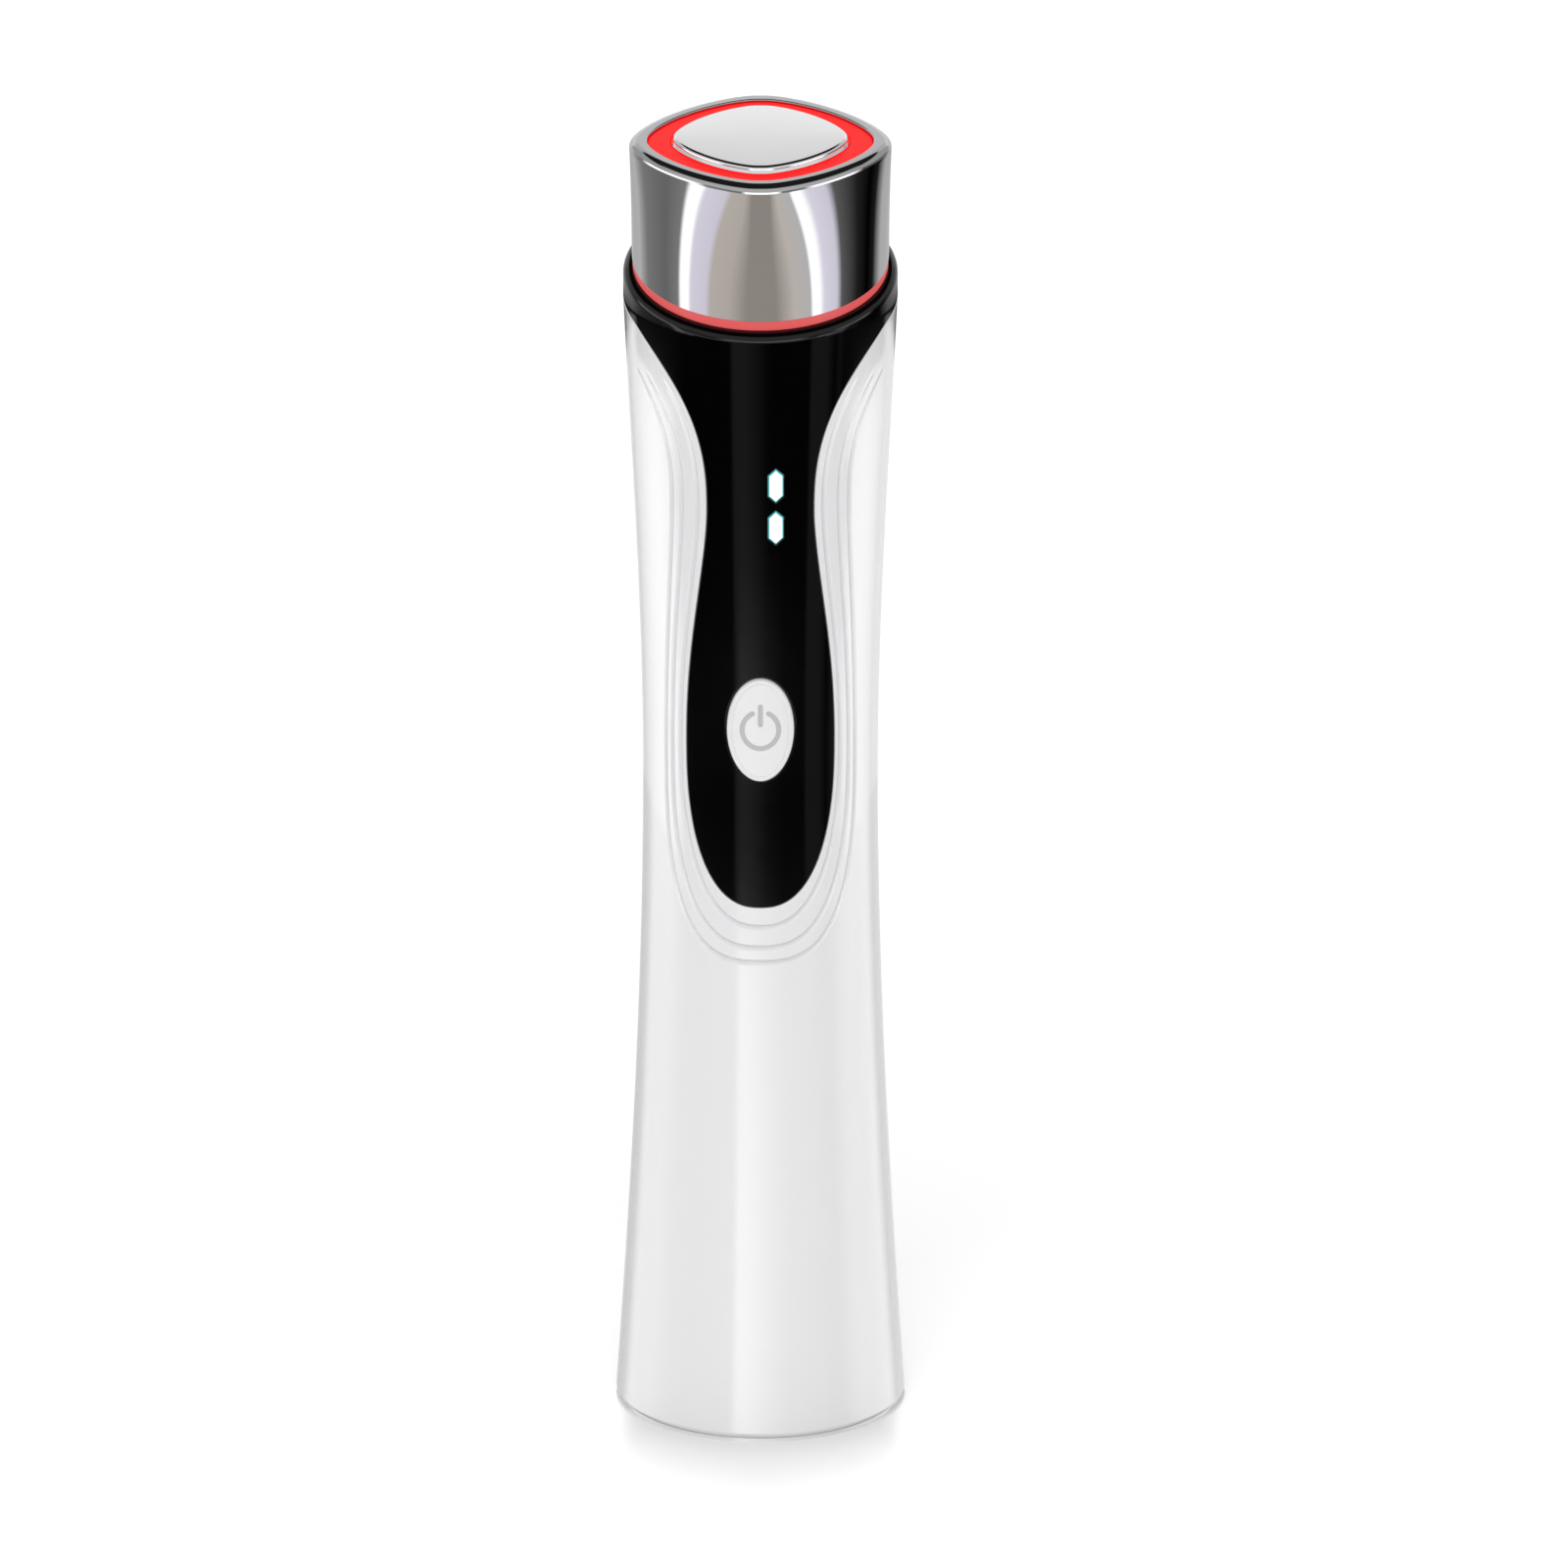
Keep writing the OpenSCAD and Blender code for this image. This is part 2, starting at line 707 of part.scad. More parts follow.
module head_carrier() {
    color(moulded_grey) difference() {
        union() {
            tube(neck_r, inner_low_r, core_low, core_step_z);
            tube(flange_r, inner_low_r, flange_z, flange_z + flange_h);
            tube(core_r, inner_low_r, core_step_z, core_step_z + 1);
            tube(core_r, inner_high_r, core_step_z + 0.5, lip_z);
            tube(core_r + 0.7, core_r - 0.5, band_low, band_low + 2);
            translate([0, 0, deck_low]) cylinder(r = core_r - 0.5, h = deck_t);
            tube(boot_r + fit / 2 + 1.2, boot_r + fit / 2, core_low, core_low + socket_h);
            around(4) translate([boot_r + 0.6, -0.8, core_low])
                cube([inner_low_r - boot_r, 1.6, socket_h]);
        }
        translate([0, 0, deck_low - 1]) cylinder(r = stud_r + 2 * fit, h = deck_t + 2);
        for (p = [[-5.9, 5.9], [-7.3, 4.3]])
            translate([p.x, p.y, deck_low - 1]) cylinder(r = 0.8, h = deck_t + 2);
        translate([core_r - 2.5, -leaf_w / 2 - 0.2, deck_low - 0.9]) cube([far / 10, leaf_w + 0.4, 0.9]);
        translate([core_r, -leaf_w / 2 - 0.2, deck_low - far / 6]) cube([far / 10, leaf_w + 0.4, far / 6]);
        lamp_places() translate([inner_high_r - 1, -1.5, -1]) cube([core_wall + 2, 3, 2]);
    }
}

module head_led_board() {
    color("white") tube(inner_high_r - fit, 3.4, deck_top, deck_top + 1);
}

module head_leds() {
    color("mistyrose") around(8, 22.5) translate([inner_high_r - 2.4, -1, deck_top + 1])
        cube([1.25, 2, 0.8]);
}

strip_t = 0.15;
module collar_led_strip() {
    color("orange") intersection() {
        tube(inner_high_r - fit, inner_high_r - fit - strip_t, strip_mid - far / 6, strip_mid + far / 6);
        above(strip_mid - 1.3);
        below(strip_mid + 1.3);
    }
}

module collar_leds() {
    color("mistyrose") lamp_places() difference() {
        translate([inner_high_r - 0.5, -0.8, -0.4]) cube([1.3, 1.6, 0.8]);
        translate([0, 0, -1]) cylinder(r = inner_high_r - fit + seat, h = 2);
    }
}

module barrel_contact() {
    leaf_x = head_low_d / 2 - head_wall - fit;
    color("gold") translate([0, -leaf_w / 2, 0]) {
        translate([core_r - 5, 0, deck_low - leaf_t]) cube([leaf_x - core_r + 5, leaf_w, leaf_t]);
        translate([leaf_x - leaf_t, 0, deck_low - 3]) cube([leaf_t, leaf_w, 3]);
    }
}

// Vibration motor: can, cover, bushes and magnets stay, shaft, armature and weight turn
motor_low = core_low - 1;
motor_high = motor_low + motor_l;
can_t = 0.4;
cover_t = 1.2;
shaft_r = shaft_d / 2;
bush_r = 1.1;
weight_low = motor_high + 0.8;
weight_h = 4;
module motor_boot() {
    color([0.15, 0.15, 0.16]) tube(boot_r, motor_r + fit / 2, core_low, core_low + socket_h);
}
module motor_can() {
    color(steel) difference() {
        translate([0, 0, motor_low + cover_t]) cylinder(r = motor_r, h = motor_l - cover_t);
        translate([0, 0, motor_low]) cylinder(r = motor_r - can_t, h = motor_l - can_t);
        translate([0, 0, motor_low]) cylinder(r = bush_r, h = motor_l + 1);
    }
}
module motor_end_cap() {
    color("white") tube(motor_r, bush_r, motor_low, motor_low + cover_t);
}
module motor_bushes() {
    color("goldenrod") {
        tube(bush_r, shaft_r + running_fit, motor_low, motor_low + cover_t);
        tube(bush_r, shaft_r + running_fit, motor_high - can_t, motor_high + 0.4);
    }
}
module motor_magnets() {
    magnet_t = 0.6;
    outer = motor_r - can_t;
    color([0.25, 0.25, 0.28]) intersection() {
        tube(outer, outer - magnet_t, motor_low + cover_t + 1.4, motor_high - can_t - 0.8);
        union() { for (x = [-1, 1]) translate([x * 5, 0, motor_low + far / 2])
            cube([8, 2 * outer - 2, far], center = true); }
    }
}
module motor_shaft() {
    color(steel) translate([0, 0, motor_low + 0.3]) cylinder(r = shaft_r, h = motor_l + 5.7);
}
module motor_armature() {
    outer = motor_r - can_t - 0.6 - 0.2;
    color([0.72, 0.40, 0.22]) translate([0, 0, motor_low + cover_t + 1.8]) difference() {
        cylinder(r = outer, h = motor_l - can_t - cover_t - 3.4);
        translate([0, 0, -1]) cylinder(r = shaft_r, h = motor_l);
        around(3) translate([shaft_r + 0.9, -0.25, -1]) cube([outer, 0.5, motor_l]);
    }
}
module eccentric_weight() {
    color([0.45, 0.46, 0.48]) translate([0, 0, weight_low]) difference() {
        union() {
            cylinder(r = shaft_r + 0.6, h = weight_h);
            difference() {
                cylinder(r = motor_r - 0.3, h = weight_h);
                translate([-far, 0, -1]) cube([2 * far, far, weight_h + 2]);
            }
        }
        translate([0, 0, -1]) cylinder(r = shaft_r, h = weight_h + 2);
    }
}

// Button: a bevelled oval that follows the panel's surface, and its keeper behind the shell
module power_button() {
    bevel = 0.5;
    keeper = 0.9;
    face = button_face_r + button_rise;
    keeper_front = wall + fit;
    reach = [button_z - button_h, button_z + button_h];
    color(shell_white) {
        difference() {
            intersection() {
                hull() {
                    facing(0, face - 2 * bevel) polygon(ellipse(button_w, button_h, button_z));
                    facing(0, face) polygon(ellipse(button_w - bevel, button_h - bevel, button_z));
                }
                turned(-button_rise, reach[0], reach[1]);
            }
            turned(keeper_front + keeper_t / 2, reach[0] - 1, reach[1] + 1);
        }
        intersection() {
            facing(0, far) polygon(ellipse(button_w + 2 * keeper, button_h + 2 * keeper, button_z));
            difference() {
                turned(keeper_front, reach[0], reach[1]);
                turned(keeper_front + keeper_t, reach[0] - 1, reach[1] + 1);
            }
        }
        translate([0, -board_front - switch_h - plunger_rise, button_z]) rotate([90, 0, 0])
            cylinder(r = 2.2, h = boss_len + keeper_t / 2);
    }
}

plunger_r = 1.75;
plunger_l = 1.5;
module switch_body() {
    depth = plunger_l - plunger_rise + button_travel + 0.2;
    color([0.12, 0.12, 0.13]) difference() {
        translate([-3, -board_front - switch_h, button_z - 3]) cube([6, switch_h, 6]);
        translate([0, -board_front - switch_h + depth, button_z]) rotate([90, 0, 0])
            cylinder(r = plunger_r + running_fit, h = depth + 1);
    }
}
module switch_plunger() {
    color("tan") translate([0, plunger_l - board_front - switch_h - plunger_rise, button_z])
        rotate([90, 0, 0]) cylinder(r = plunger_r, h = plunger_l);
}

lamp_h = 0.7;
module indicator_leds() {
    color("white") for (i = [0, 1])
        translate([window_x - 0.8, -board_front - lamp_h, window_z + i * window_pitch - 0.5])
            cube([1.6, lamp_h, 1]);
}
module indicator_light_guide() {
    low = window_z - window_h;
    high = window_z + window_pitch + window_h;
    color([0.85, 1, 1]) {
        intersection() {
            facing(inner_r, far) window_shapes();
            turned(0, low, high);
        }
        intersection() {
            facing(board_front + lamp_h + 2 * fit, far) guide_block();
            turned(recess, low, high);
        }
    }
}

// Main board and what is soldered to it
module main_board() {
    color(board_green) difference() {
        translate([-board_w / 2, -board_front, board_low]) cube([board_w, board_t, board_high - board_low]);
        at_posts() rotate([90, 0, 0]) translate([0, 0, board_back - 1])
            cylinder(r = screw_r + 0.2, h = board_t + 2);
    }
}
module board_screws() {
    color(steel) at_posts() rotate([90, 0, 0]) {
        translate([0, 0, board_back - 1]) cylinder(r = 1.5, h = 1);
        translate([0, 0, board_back - 0.5]) cylinder(r = screw_r, h = board_t + 3.5);
    }
}
module controller_chip() {
    color([0.1, 0.1, 0.11]) translate([-3.5, -board_back, 117]) cube([7, 1, 7]);
}
module boost_coil() {
    color([0.2, 0.2, 0.22]) translate([0, -board_back, 101]) rotate([-90, 0, 0]) {
        cylinder(r = 3.6, h = 0.6);
        cylinder(r = 2.4, h = 3.4);
        translate([0, 0, 2.8]) cylinder(r = 3.6, h = 0.6);
    }
}
module board_capacitors() {
    color([0.75, 0.76, 0.78]) for (x = [-3, 3])
        translate([x, -board_back, 86]) rotate([-90, 0, 0]) cylinder(r = 2, h = 5.4);
}

module battery_cell() {
    color([0.25, 0.45, 0.75]) translate([0, cell_y, cell_low]) {
        cylinder(r = cell_r, h = cell_l - 1);
        cylinder(r = 3, h = cell_l);
    }
}
tab_t = 0.2;
module battery_tabs() {
    color(steel) for (z = [cell_low - tab_t, cell_high])
        translate([-2, cell_y - 5.5, z]) cube([4, 9, tab_t]);
}

// Wires: smooth curves through a few points, swept with a round section
wire_r = 0.5;
wire_sides = 8;
curve_steps = 3;
function blend_point(a, b, c, d, t) = 0.5 * (2 * b + (c - a) * t
    + (2 * a - 5 * b + 4 * c - d) * t * t + (3 * b - a - 3 * c + d) * t * t * t);
function smooth(p) = [for (i = [0 : len(p) - 2], s = [0 : curve_steps - 1])
    blend_point(p[max(i - 1, 0)], p[i], p[i + 1], p[min(i + 2, len(p) - 1)], s / curve_steps),
    p[len(p) - 1]];
function unit(v) = v / norm(v);
module wire(route) {
    p = smooth(route);
    n = len(p);
    aside = [0.58, -0.74, 0.34];
    loft([for (i = [0 : n - 1])
        let (t = i == 0 ? unit(route[1] - route[0])
                : i == n - 1 ? unit(route[len(route) - 1] - route[len(route) - 2])
                : unit(p[i + 1] - p[i - 1]),
            u = unit(cross(aside, t)), v = cross(t, u))
        [for (j = [0 : wire_sides - 1]) let (a = 360 * j / wire_sides)
            p[i] + wire_r * (cos(a) * u + sin(a) * v)]]);
}

back = -board_back;
pad_z = max(board_low + 2.4, cell_high + 7.4);
lane_x = 9.6;
lane_y = -3.2;
lane_low = cell_low + 5.5;
lane_mid = (cell_low + cell_high) / 2;
lane_high = cell_high - 8;
lane_end = cell_high + 1;
module battery_leads() {
    color("red") wire([[1.2, -3, cell_high + tab_t], [1.2, -3, cell_high + 1.4],
        [1.6, -2.6, pad_z - 3.4], [1.8, back + 2.2, pad_z - 1.2], [1.8, back + 1.4, pad_z],
        [1.8, back, pad_z]]);
    color("black") wire([[1.4, -3, cell_low - tab_t], [1.4, -3, cell_low - 1.1],
        [5.4, -3.3, cell_low - 1.6], [8.3, -3.3, cell_low], [lane_x, lane_y, lane_low],
        [lane_x, lane_y, lane_mid], [lane_x - 0.3, lane_y, lane_high], [7.6, -2.8, lane_end],
        [4.2, back + 2.4, pad_z - 1], [3.4, back + 1.4, pad_z], [3.4, back, pad_z]]);
}
module charge_leads() {
    face = port_h / 2;
    color("red") wire([[-5.4, face, 12], [-5.4, face - 1.2, 12], [-6.6, -1.6, 14],
        [-8.8, -3, 17.6], [-lane_x, lane_y, lane_low], [-lane_x, lane_y, lane_mid],
        [-lane_x + 0.3, lane_y, lane_high], [-8, -3, lane_end], [-4.4, back + 2.4, pad_z - 1], [-3.6, back + 1.4, pad_z],
        [-3.6, back, pad_z]]);
    color("black") wire([[-7.2, face, 10.4], [-7.2, face - 1.1, 10.4], [-8.8, -1, 13],
        [-9.8, lane_y + 1.6, 18], [-lane_x - 0.3, lane_y + 1.6, lane_low],
        [-lane_x - 0.3, lane_y + 1.6, lane_mid], [-lane_x, lane_y + 1.6, lane_high],
        [-8, -1.2, lane_end + 1], [-3.4, back + 3.8, pad_z + 0.2],
        [-2, back + 1.6, pad_z], [-2, back, pad_z]]);
}
module motor_leads() {
    for (x = [-1, 1]) color(x < 0 ? "red" : "black")
        wire([[x * 2.2, back, board_high - 2], [x * 2.2, back + 1.2, board_high - 2],
            [x * 2, back + 3, board_high - 1.4], [x * 1.9, -0.4, motor_low - 1.6],
            [x * 1.9, 0, motor_low - 0.8], [x * 1.9, 0, motor_low]]);
}
module head_leads() {
    gap_z = core_low + 2;
    top_z = core_low + socket_h;
    mid_z = (top_z + deck_low) / 2;
    pads_z = board_high - 2.5;
    color("red") wire([[-7.4, back, pads_z - 3], [-7.4, back + 1.4, pads_z - 3],
        [-7.6, -0.4, core_low - 6.6], [-7, 3.4, core_low - 3.6], [-5.9, 5.9, gap_z],
        [-5.9, 5.9, top_z], [-5.9, 5.9, deck_low], [-5.9, 5.9, deck_top]]);
    color("black") wire([[-7.4, back, pads_z - 5.4], [-7.4, back + 1.6, pads_z - 5.4],
        [-8.8, 0.6, core_low - 7], [-8.4, 2.8, core_low - 3], [-7.3, 4.3, gap_z],
        [-7.3, 4.3, top_z], [-7.3, 4.3, deck_low], [-7.3, 4.3, deck_top]]);
    color("blue") wire([[-5.6, back, pads_z], [-5.6, back + 1.2, pads_z],
        [-6, -3.8, core_low - 2], [-5.9, -5.9, gap_z + 1], [-5.9, -5.9, top_z], [-5.4, -3, mid_z],
        [-5.2, 0, deck_low - 3], [-5.2, 0, deck_low - tag_t]]);
    color("gold") wire([[5.6, back, pads_z], [5.6, back + 1.2, pads_z],
        [6, -3.8, core_low - 2], [5.9, -5.9, gap_z + 1], [5.9, -5.9, top_z], [7.6, -3.4, mid_z],
        [core_r - 4, 0, deck_low - 3], [core_r - 4, 0, deck_low - leaf_t]]);
}

front_shell();
rear_shell();
front_panel();
base_cap();
collar_light_ring();
head_barrel();
top_light_ring();
contact_plate();
head_carrier();
head_led_board();
head_leds();
collar_led_strip();
collar_leds();
plate_terminal();
plate_nut();
barrel_contact();
motor_boot();
motor_can();
motor_end_cap();
motor_bushes();
motor_magnets();
motor_shaft();
motor_armature();
eccentric_weight();
power_button();
switch_body();
switch_plunger();
indicator_light_guide();
indicator_leds();
main_board();
controller_chip();
boost_coil();
board_capacitors();
board_screws();
battery_cell();
battery_tabs();
charge_board();
usb_port();
usb_tongue();
base_screws();
battery_leads();
charge_leads();
head_leads();
motor_leads();
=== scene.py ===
import json
import math
import bpy
import numpy as np
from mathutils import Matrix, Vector
from mathutils.geometry import delaunay_2d_cdt


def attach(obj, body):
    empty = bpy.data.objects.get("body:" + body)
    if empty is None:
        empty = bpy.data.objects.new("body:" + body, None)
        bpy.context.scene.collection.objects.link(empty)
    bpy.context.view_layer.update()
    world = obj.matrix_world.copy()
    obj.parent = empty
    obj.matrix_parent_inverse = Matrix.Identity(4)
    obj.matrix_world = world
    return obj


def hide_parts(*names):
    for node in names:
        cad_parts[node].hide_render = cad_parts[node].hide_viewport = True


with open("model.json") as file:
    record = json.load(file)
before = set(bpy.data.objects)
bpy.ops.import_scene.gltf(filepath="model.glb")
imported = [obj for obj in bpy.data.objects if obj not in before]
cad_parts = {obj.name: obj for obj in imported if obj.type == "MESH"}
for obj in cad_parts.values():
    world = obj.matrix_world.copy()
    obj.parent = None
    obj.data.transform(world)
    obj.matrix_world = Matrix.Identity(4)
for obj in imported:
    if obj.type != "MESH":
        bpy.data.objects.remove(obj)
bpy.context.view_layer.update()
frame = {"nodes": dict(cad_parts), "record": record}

# Sizes in millimetres, as in the part's source: the handle and its collar
MM = 0.001
COLLAR_Z = 148.7
COLLAR_H = 3.9
COLLAR_R = 16.9
COLLAR_EDGE = 1.0
LEAN_ANGLE = math.radians(11.0)
LEAN = math.tan(LEAN_ANGLE)
WAIST_Z = 83.0
WAIST_R = 14.5
TOP_FULL = 1.8
FOOT_R = 17.95
FOOT_FULL = 1.3
FOOT_STEP = 0.5
FOOT_EDGE = 0.9
WALL = 2.2
FIT = 0.1
SEAT = 0.02
CROWN_Z = COLLAR_Z - COLLAR_H
SHELL_TOP = COLLAR_Z - 1.5

# The goblet-shaped panel and its recess
PANEL_T = 1.2
RECESS = 1.3
EDGE_R = 0.15
HOLE_EDGE = 0.12
GOBLET_LOW = 69.6
GOBLET_Z = 91.0
GOBLET_W = 9.15
BOWL_FULL = 2.5
NECK_Z = 121.5
NECK_W = 6.6
NECK_SKEW = 0.8
FLARE_POWER = 2.5

# Three ripples: how far each lies outside the goblet, below it, at the bowl and at the neck. Their
# grooves are drawn wider and deeper than in the part, so that they can be read
RIPPLE_DROP = (2.6, 5.3, 7.2)
RIPPLE_WIDE = (0.7, 1.7, 2.5)
RIPPLE_NECK = (1.2, 3.1, 4.3)
RIPPLE_FULL = 0.35
RIPPLE_LOOK_W = 0.84
RIPPLE_LOOK_D = 0.5
FADE_LOW = NECK_Z + 2
FADE_HIGH = CROWN_Z - 7

# The chrome head, its two light rings and the plate
HEAD_H = 15.05
HEAD_LOW_R = 15.85
HEAD_CORNER_R = 16.35
HEAD_SIDE_R = 14.8
HEAD_EDGE = 1.1
HEAD_WALL = 1.2
HEAD_BORE = 1.6
TIP_SOFT = 0.08
TOP_LEAN = math.tan(math.radians(1.0))
RING_H = 1.25
RING_R = 15.75
RING_EDGE = 0.2
BORE_R = 13.7
BORE_EDGE = 0.2
HALO_R = 14.0
HALO_T = 1.5
HALO_EDGE = 0.25
PLATE_R = 11.1
PLATE_RISE = 1.0
PLATE_SKIRT = 0.2
PLATE_CROWN = 0.15
PLATE_EDGE = 0.5
HEAD_Z = COLLAR_Z + RING_H
RIM_Z = HEAD_Z + HEAD_H
HALO_Z = RIM_Z - 0.3
PLATE_LOW = RIM_Z - 1.75
SIDE_RATIO = HEAD_SIDE_R / HEAD_CORNER_R
HEAD_SIZE = (HEAD_CORNER_R, HEAD_SIDE_R)
HALO_SIZE = (HALO_R, HALO_R * SIDE_RATIO)
PLATE_SIZE = (PLATE_R, PLATE_R * SIDE_RATIO)

# The button, its power sign and the fine line inside its rim
BUTTON_W = 8.3
BUTTON_H = 13.5
BUTTON_Z = 93.0
BUTTON_RISE = 0.6
BUTTON_BACK = 1.6
BUTTON_FIT = 0.18
RIM_ROUND = 0.45
RIM_LINE_W = 0.34
RIM_LINE_D = 0.12
SIGN_R = 2.27
SIGN_W = 0.29
SIGN_TALL = 1.067
SIGN_Z = BUTTON_Z + 0.12
SIGN_GAP = math.radians(26)
SIGN_DEEP = 0.12
SIGN_EDGE = 0.08
SIGN_LIFT = 0.02
BAR_LOW = 0.4
BAR_HIGH = 3.4

# The two windows: half width, half height and the height of a tip
WINDOW_X = 1.9
WINDOW_Z = 119.8
WINDOW_STEP = 5.6
WINDOW_HALF = (0.95, 2.25, 0.9)
WINDOW_FIT = 0.04
WINDOW_RIM = 0.18

# How the meshes are laid out: the seam is a hair in front of the side, below GRID_LOW the handle has
# plain rows, and the counts say how finely each stretch is cut
SEAM = math.pi / 2 - 0.0015
SEAM_MARGIN = 1.0
GRID_LOW = 50.0
BOWL_COLS = 90
NECK_COLS = 60
FLARE_COLS = 60
BOWL_POINTS = 600
NECK_POINTS = 400
FLARE_POINTS = 800
FRONT_COLS = 91
REAR_COLS = 181
INNER_COLS = 61
BACK_COLS = 60
RING_COLS = 257
BUTTON_COLS = 120
SIGN_COLS = 61
CAP_COLS = 9
GROOVE_ROWS = 11
BETWEEN_ROWS = 4
OUTER_ROWS = 16
REAR_ROWS = 70
FOOT_ROWS = 40
EDGE_ROWS = 9
COLLAR_ROWS = 13
INNER_ROWS = 50
WALL_ROWS = 60
HEAD_ROWS = 33
CROWN_ROWS = 16
LINE_ROWS = 9
WELDS_PER_MM = 2000

# Filled regions: radius of the unrolled surface, and the size of the triangles in each
UNROLL = 15.0
ROW_RATIO = 0.87
NEAR_RATIO = 0.45
PANEL_STEP = 0.7
FACE_STEP = 0.45
BACK_STEP = 1.2
SIGN_STEP = 0.3
PANE_STEP = 0.3
RIM_STEP = 0.2


# Laws of the form, as in the part's source
def flare(u, fullness):
    return u * u * (fullness + (1 - fullness) * u)


# Radius of the handle at a height
def body_r(z):
    z = np.asarray(z, float)
    up = np.clip((z - WAIST_Z) / (CROWN_Z - WAIST_Z), 0, 1)
    down = np.clip((WAIST_Z - z) / WAIST_Z, 0, 1)
    wider = (COLLAR_R - WAIST_R) * flare(up, TOP_FULL)
    return WAIST_R + wider + (FOOT_R - WAIST_R) * flare(down, FOOT_FULL)


def body_slope(z, step=0.01):
    return (body_r(z + step) - body_r(z - step)) / (2 * step)


# Height of the slanted collar plane that meets the axis at z
def lean_z(z, phi, r):
    return z - r * np.cos(phi) * LEAN


# Radius of a rounded diamond, with its corners on the axes
def diamond(a, corner, side):
    power = 1 / (0.5 - math.log2(side / corner))
    along, across = [(v ** 4 + TIP_SOFT ** 4) ** (power / 4) for v in (np.cos(a), np.sin(a))]
    return corner / (along + across) ** (1 / power)


# Points round the axis, phi measured from the front
def polar(r, phi, z):
    r, phi, z = np.broadcast_arrays(r, phi, z)
    return np.stack([r * np.sin(phi), -r * np.cos(phi), z], -1)


def on_body(phi, z, depth=0.0):
    return polar(body_r(z) - depth, phi, z)


# Directions on the handle's surface: out of it, round it and up along it
def body_frame(phi, z):
    phi, z = np.broadcast_arrays(np.asarray(phi, float), np.asarray(z, float))
    s = body_slope(z)
    size = np.sqrt(1 + s * s)[..., None]
    side = np.stack([np.cos(phi), np.sin(phi), 0 * s], -1)
    return polar(1.0, phi, -s) / size, side, polar(s, phi, 1.0) / size


def unit(v):
    return v / np.maximum(np.linalg.norm(v, axis=-1, keepdims=True), 1e-12)


# Normals of rows of rings, from the rings' own tangents
def grid_normals(points):
    down = np.gradient(points, axis=0)
    along = np.gradient(points, axis=1)
    wrap = points[:, 1] - points[:, -2]
    along[:, 0] = wrap
    along[:, -1] = wrap
    return unit(np.cross(along, down))


# Inset and drop of each step of a rounded edge, from the wall to the flat
def rounding(radius, steps):
    return [(radius * (1 - math.cos(a)), radius * (1 - math.sin(a)))
            for a in np.linspace(0, math.pi / 2, steps + 1)]


# Gathers patches with their true normals and welds them into one mesh
class Skin:
    def __init__(self):
        self.points = []
        self.normals = []
        self.faces = []
        self.size = 0

    def add(self, points, normals, faces):
        self.points.append(points)
        self.normals.append(np.broadcast_to(np.asarray(normals, float), points.shape))
        self.faces.append(np.asarray(faces) + self.size)
        self.size += len(points)

    def grid(self, points, normals):
        points = np.asarray(points, float)
        rows, cols = points.shape[:2]
        k = np.arange(rows * cols).reshape(rows, cols)
        quads = np.stack([k[:-1, :-1], k[:-1, 1:], k[1:, 1:], k[1:, :-1]], -1).reshape(-1, 4)
        normals = np.broadcast_to(np.asarray(normals, float), points.shape)
        self.add(points.reshape(-1, 3), normals.reshape(-1, 3), quads)

    # Faces by welded point, turned to agree with their normals, and the corners that they use
    def turned_faces(self, points, normals, weld):
        faces = []
        corners = []
        for group in self.faces:
            p = points[group]
            if group.shape[1] == 3:
                across = np.cross(p[:, 1] - p[:, 0], p[:, 2] - p[:, 0])
            else:
                across = np.cross(p[:, 2] - p[:, 0], p[:, 3] - p[:, 1])
            flip = np.einsum("ij,ij->i", across, normals[group].mean(1)) < 0
            for face, turned in zip(group, flip):
                ring = face[::-1] if turned else face
                kept = [k for i, k in enumerate(ring) if weld[k] != weld[ring[i - 1]]]
                if len(kept) > 2 and len({weld[k] for k in kept}) == len(kept):
                    faces.append([int(weld[k]) for k in kept])
                    corners.extend(kept)
        return faces, corners

    def build(self, name, look, body, nodes):
        points = np.concatenate(self.points)
        normals = np.concatenate(self.normals)
        keys = np.round(points * WELDS_PER_MM).astype(np.int64)
        _, first, weld = np.unique(keys, axis=0, return_index=True, return_inverse=True)
        faces, corners = self.turned_faces(points, normals, weld.reshape(-1))
        mesh = bpy.data.meshes.new(name)
        mesh.from_pydata((points[first] * MM).tolist(), [], faces)
        mesh.polygons.foreach_set("use_smooth", [True] * len(mesh.polygons))
        mesh.normals_split_custom_set(unit(normals[corners]).tolist())
        mesh.materials.append(look)
        thing = bpy.data.objects.new(name, mesh)
        bpy.context.scene.collection.objects.link(thing)
        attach(thing, body)
        if nodes:
            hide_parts(*nodes)


# Evenly spaced points along a line in the unrolled surface
def respaced(phi, z, count):
    step = np.hypot(np.diff(body_r(z) * phi), np.diff(z))
    way = np.concatenate([[0], np.cumsum(step)])
    at = np.linspace(0, way[-1], count)
    return np.interp(at, way, phi), np.interp(at, way, z)


# The rounded lower stretch of a goblet line
def bowl_line(low, wide, full):
    a = np.linspace(0, math.pi / 2, BOWL_POINTS)
    z = GOBLET_Z - (GOBLET_Z - low) * np.cos(a) ** (2 / full)
    return wide * np.sin(a) ** (2 / full), z


# Half width of the stretch that flares towards the collar
def flare_half(z, neck):
    t = np.clip((z - NECK_Z) / (CROWN_Z - NECK_Z), 0, 2)
    return neck + (COLLAR_R - NECK_W) * t ** FLARE_POWER


# Height at which the flared line reaches the seam, found by small steps
def seam_height(neck, tries=60, pace=0.25):
    top = CROWN_Z
    for _ in range(tries):
        over = flare_half(top, neck) - body_r(top) * math.sin(SEAM)
        top -= pace * over
    return top


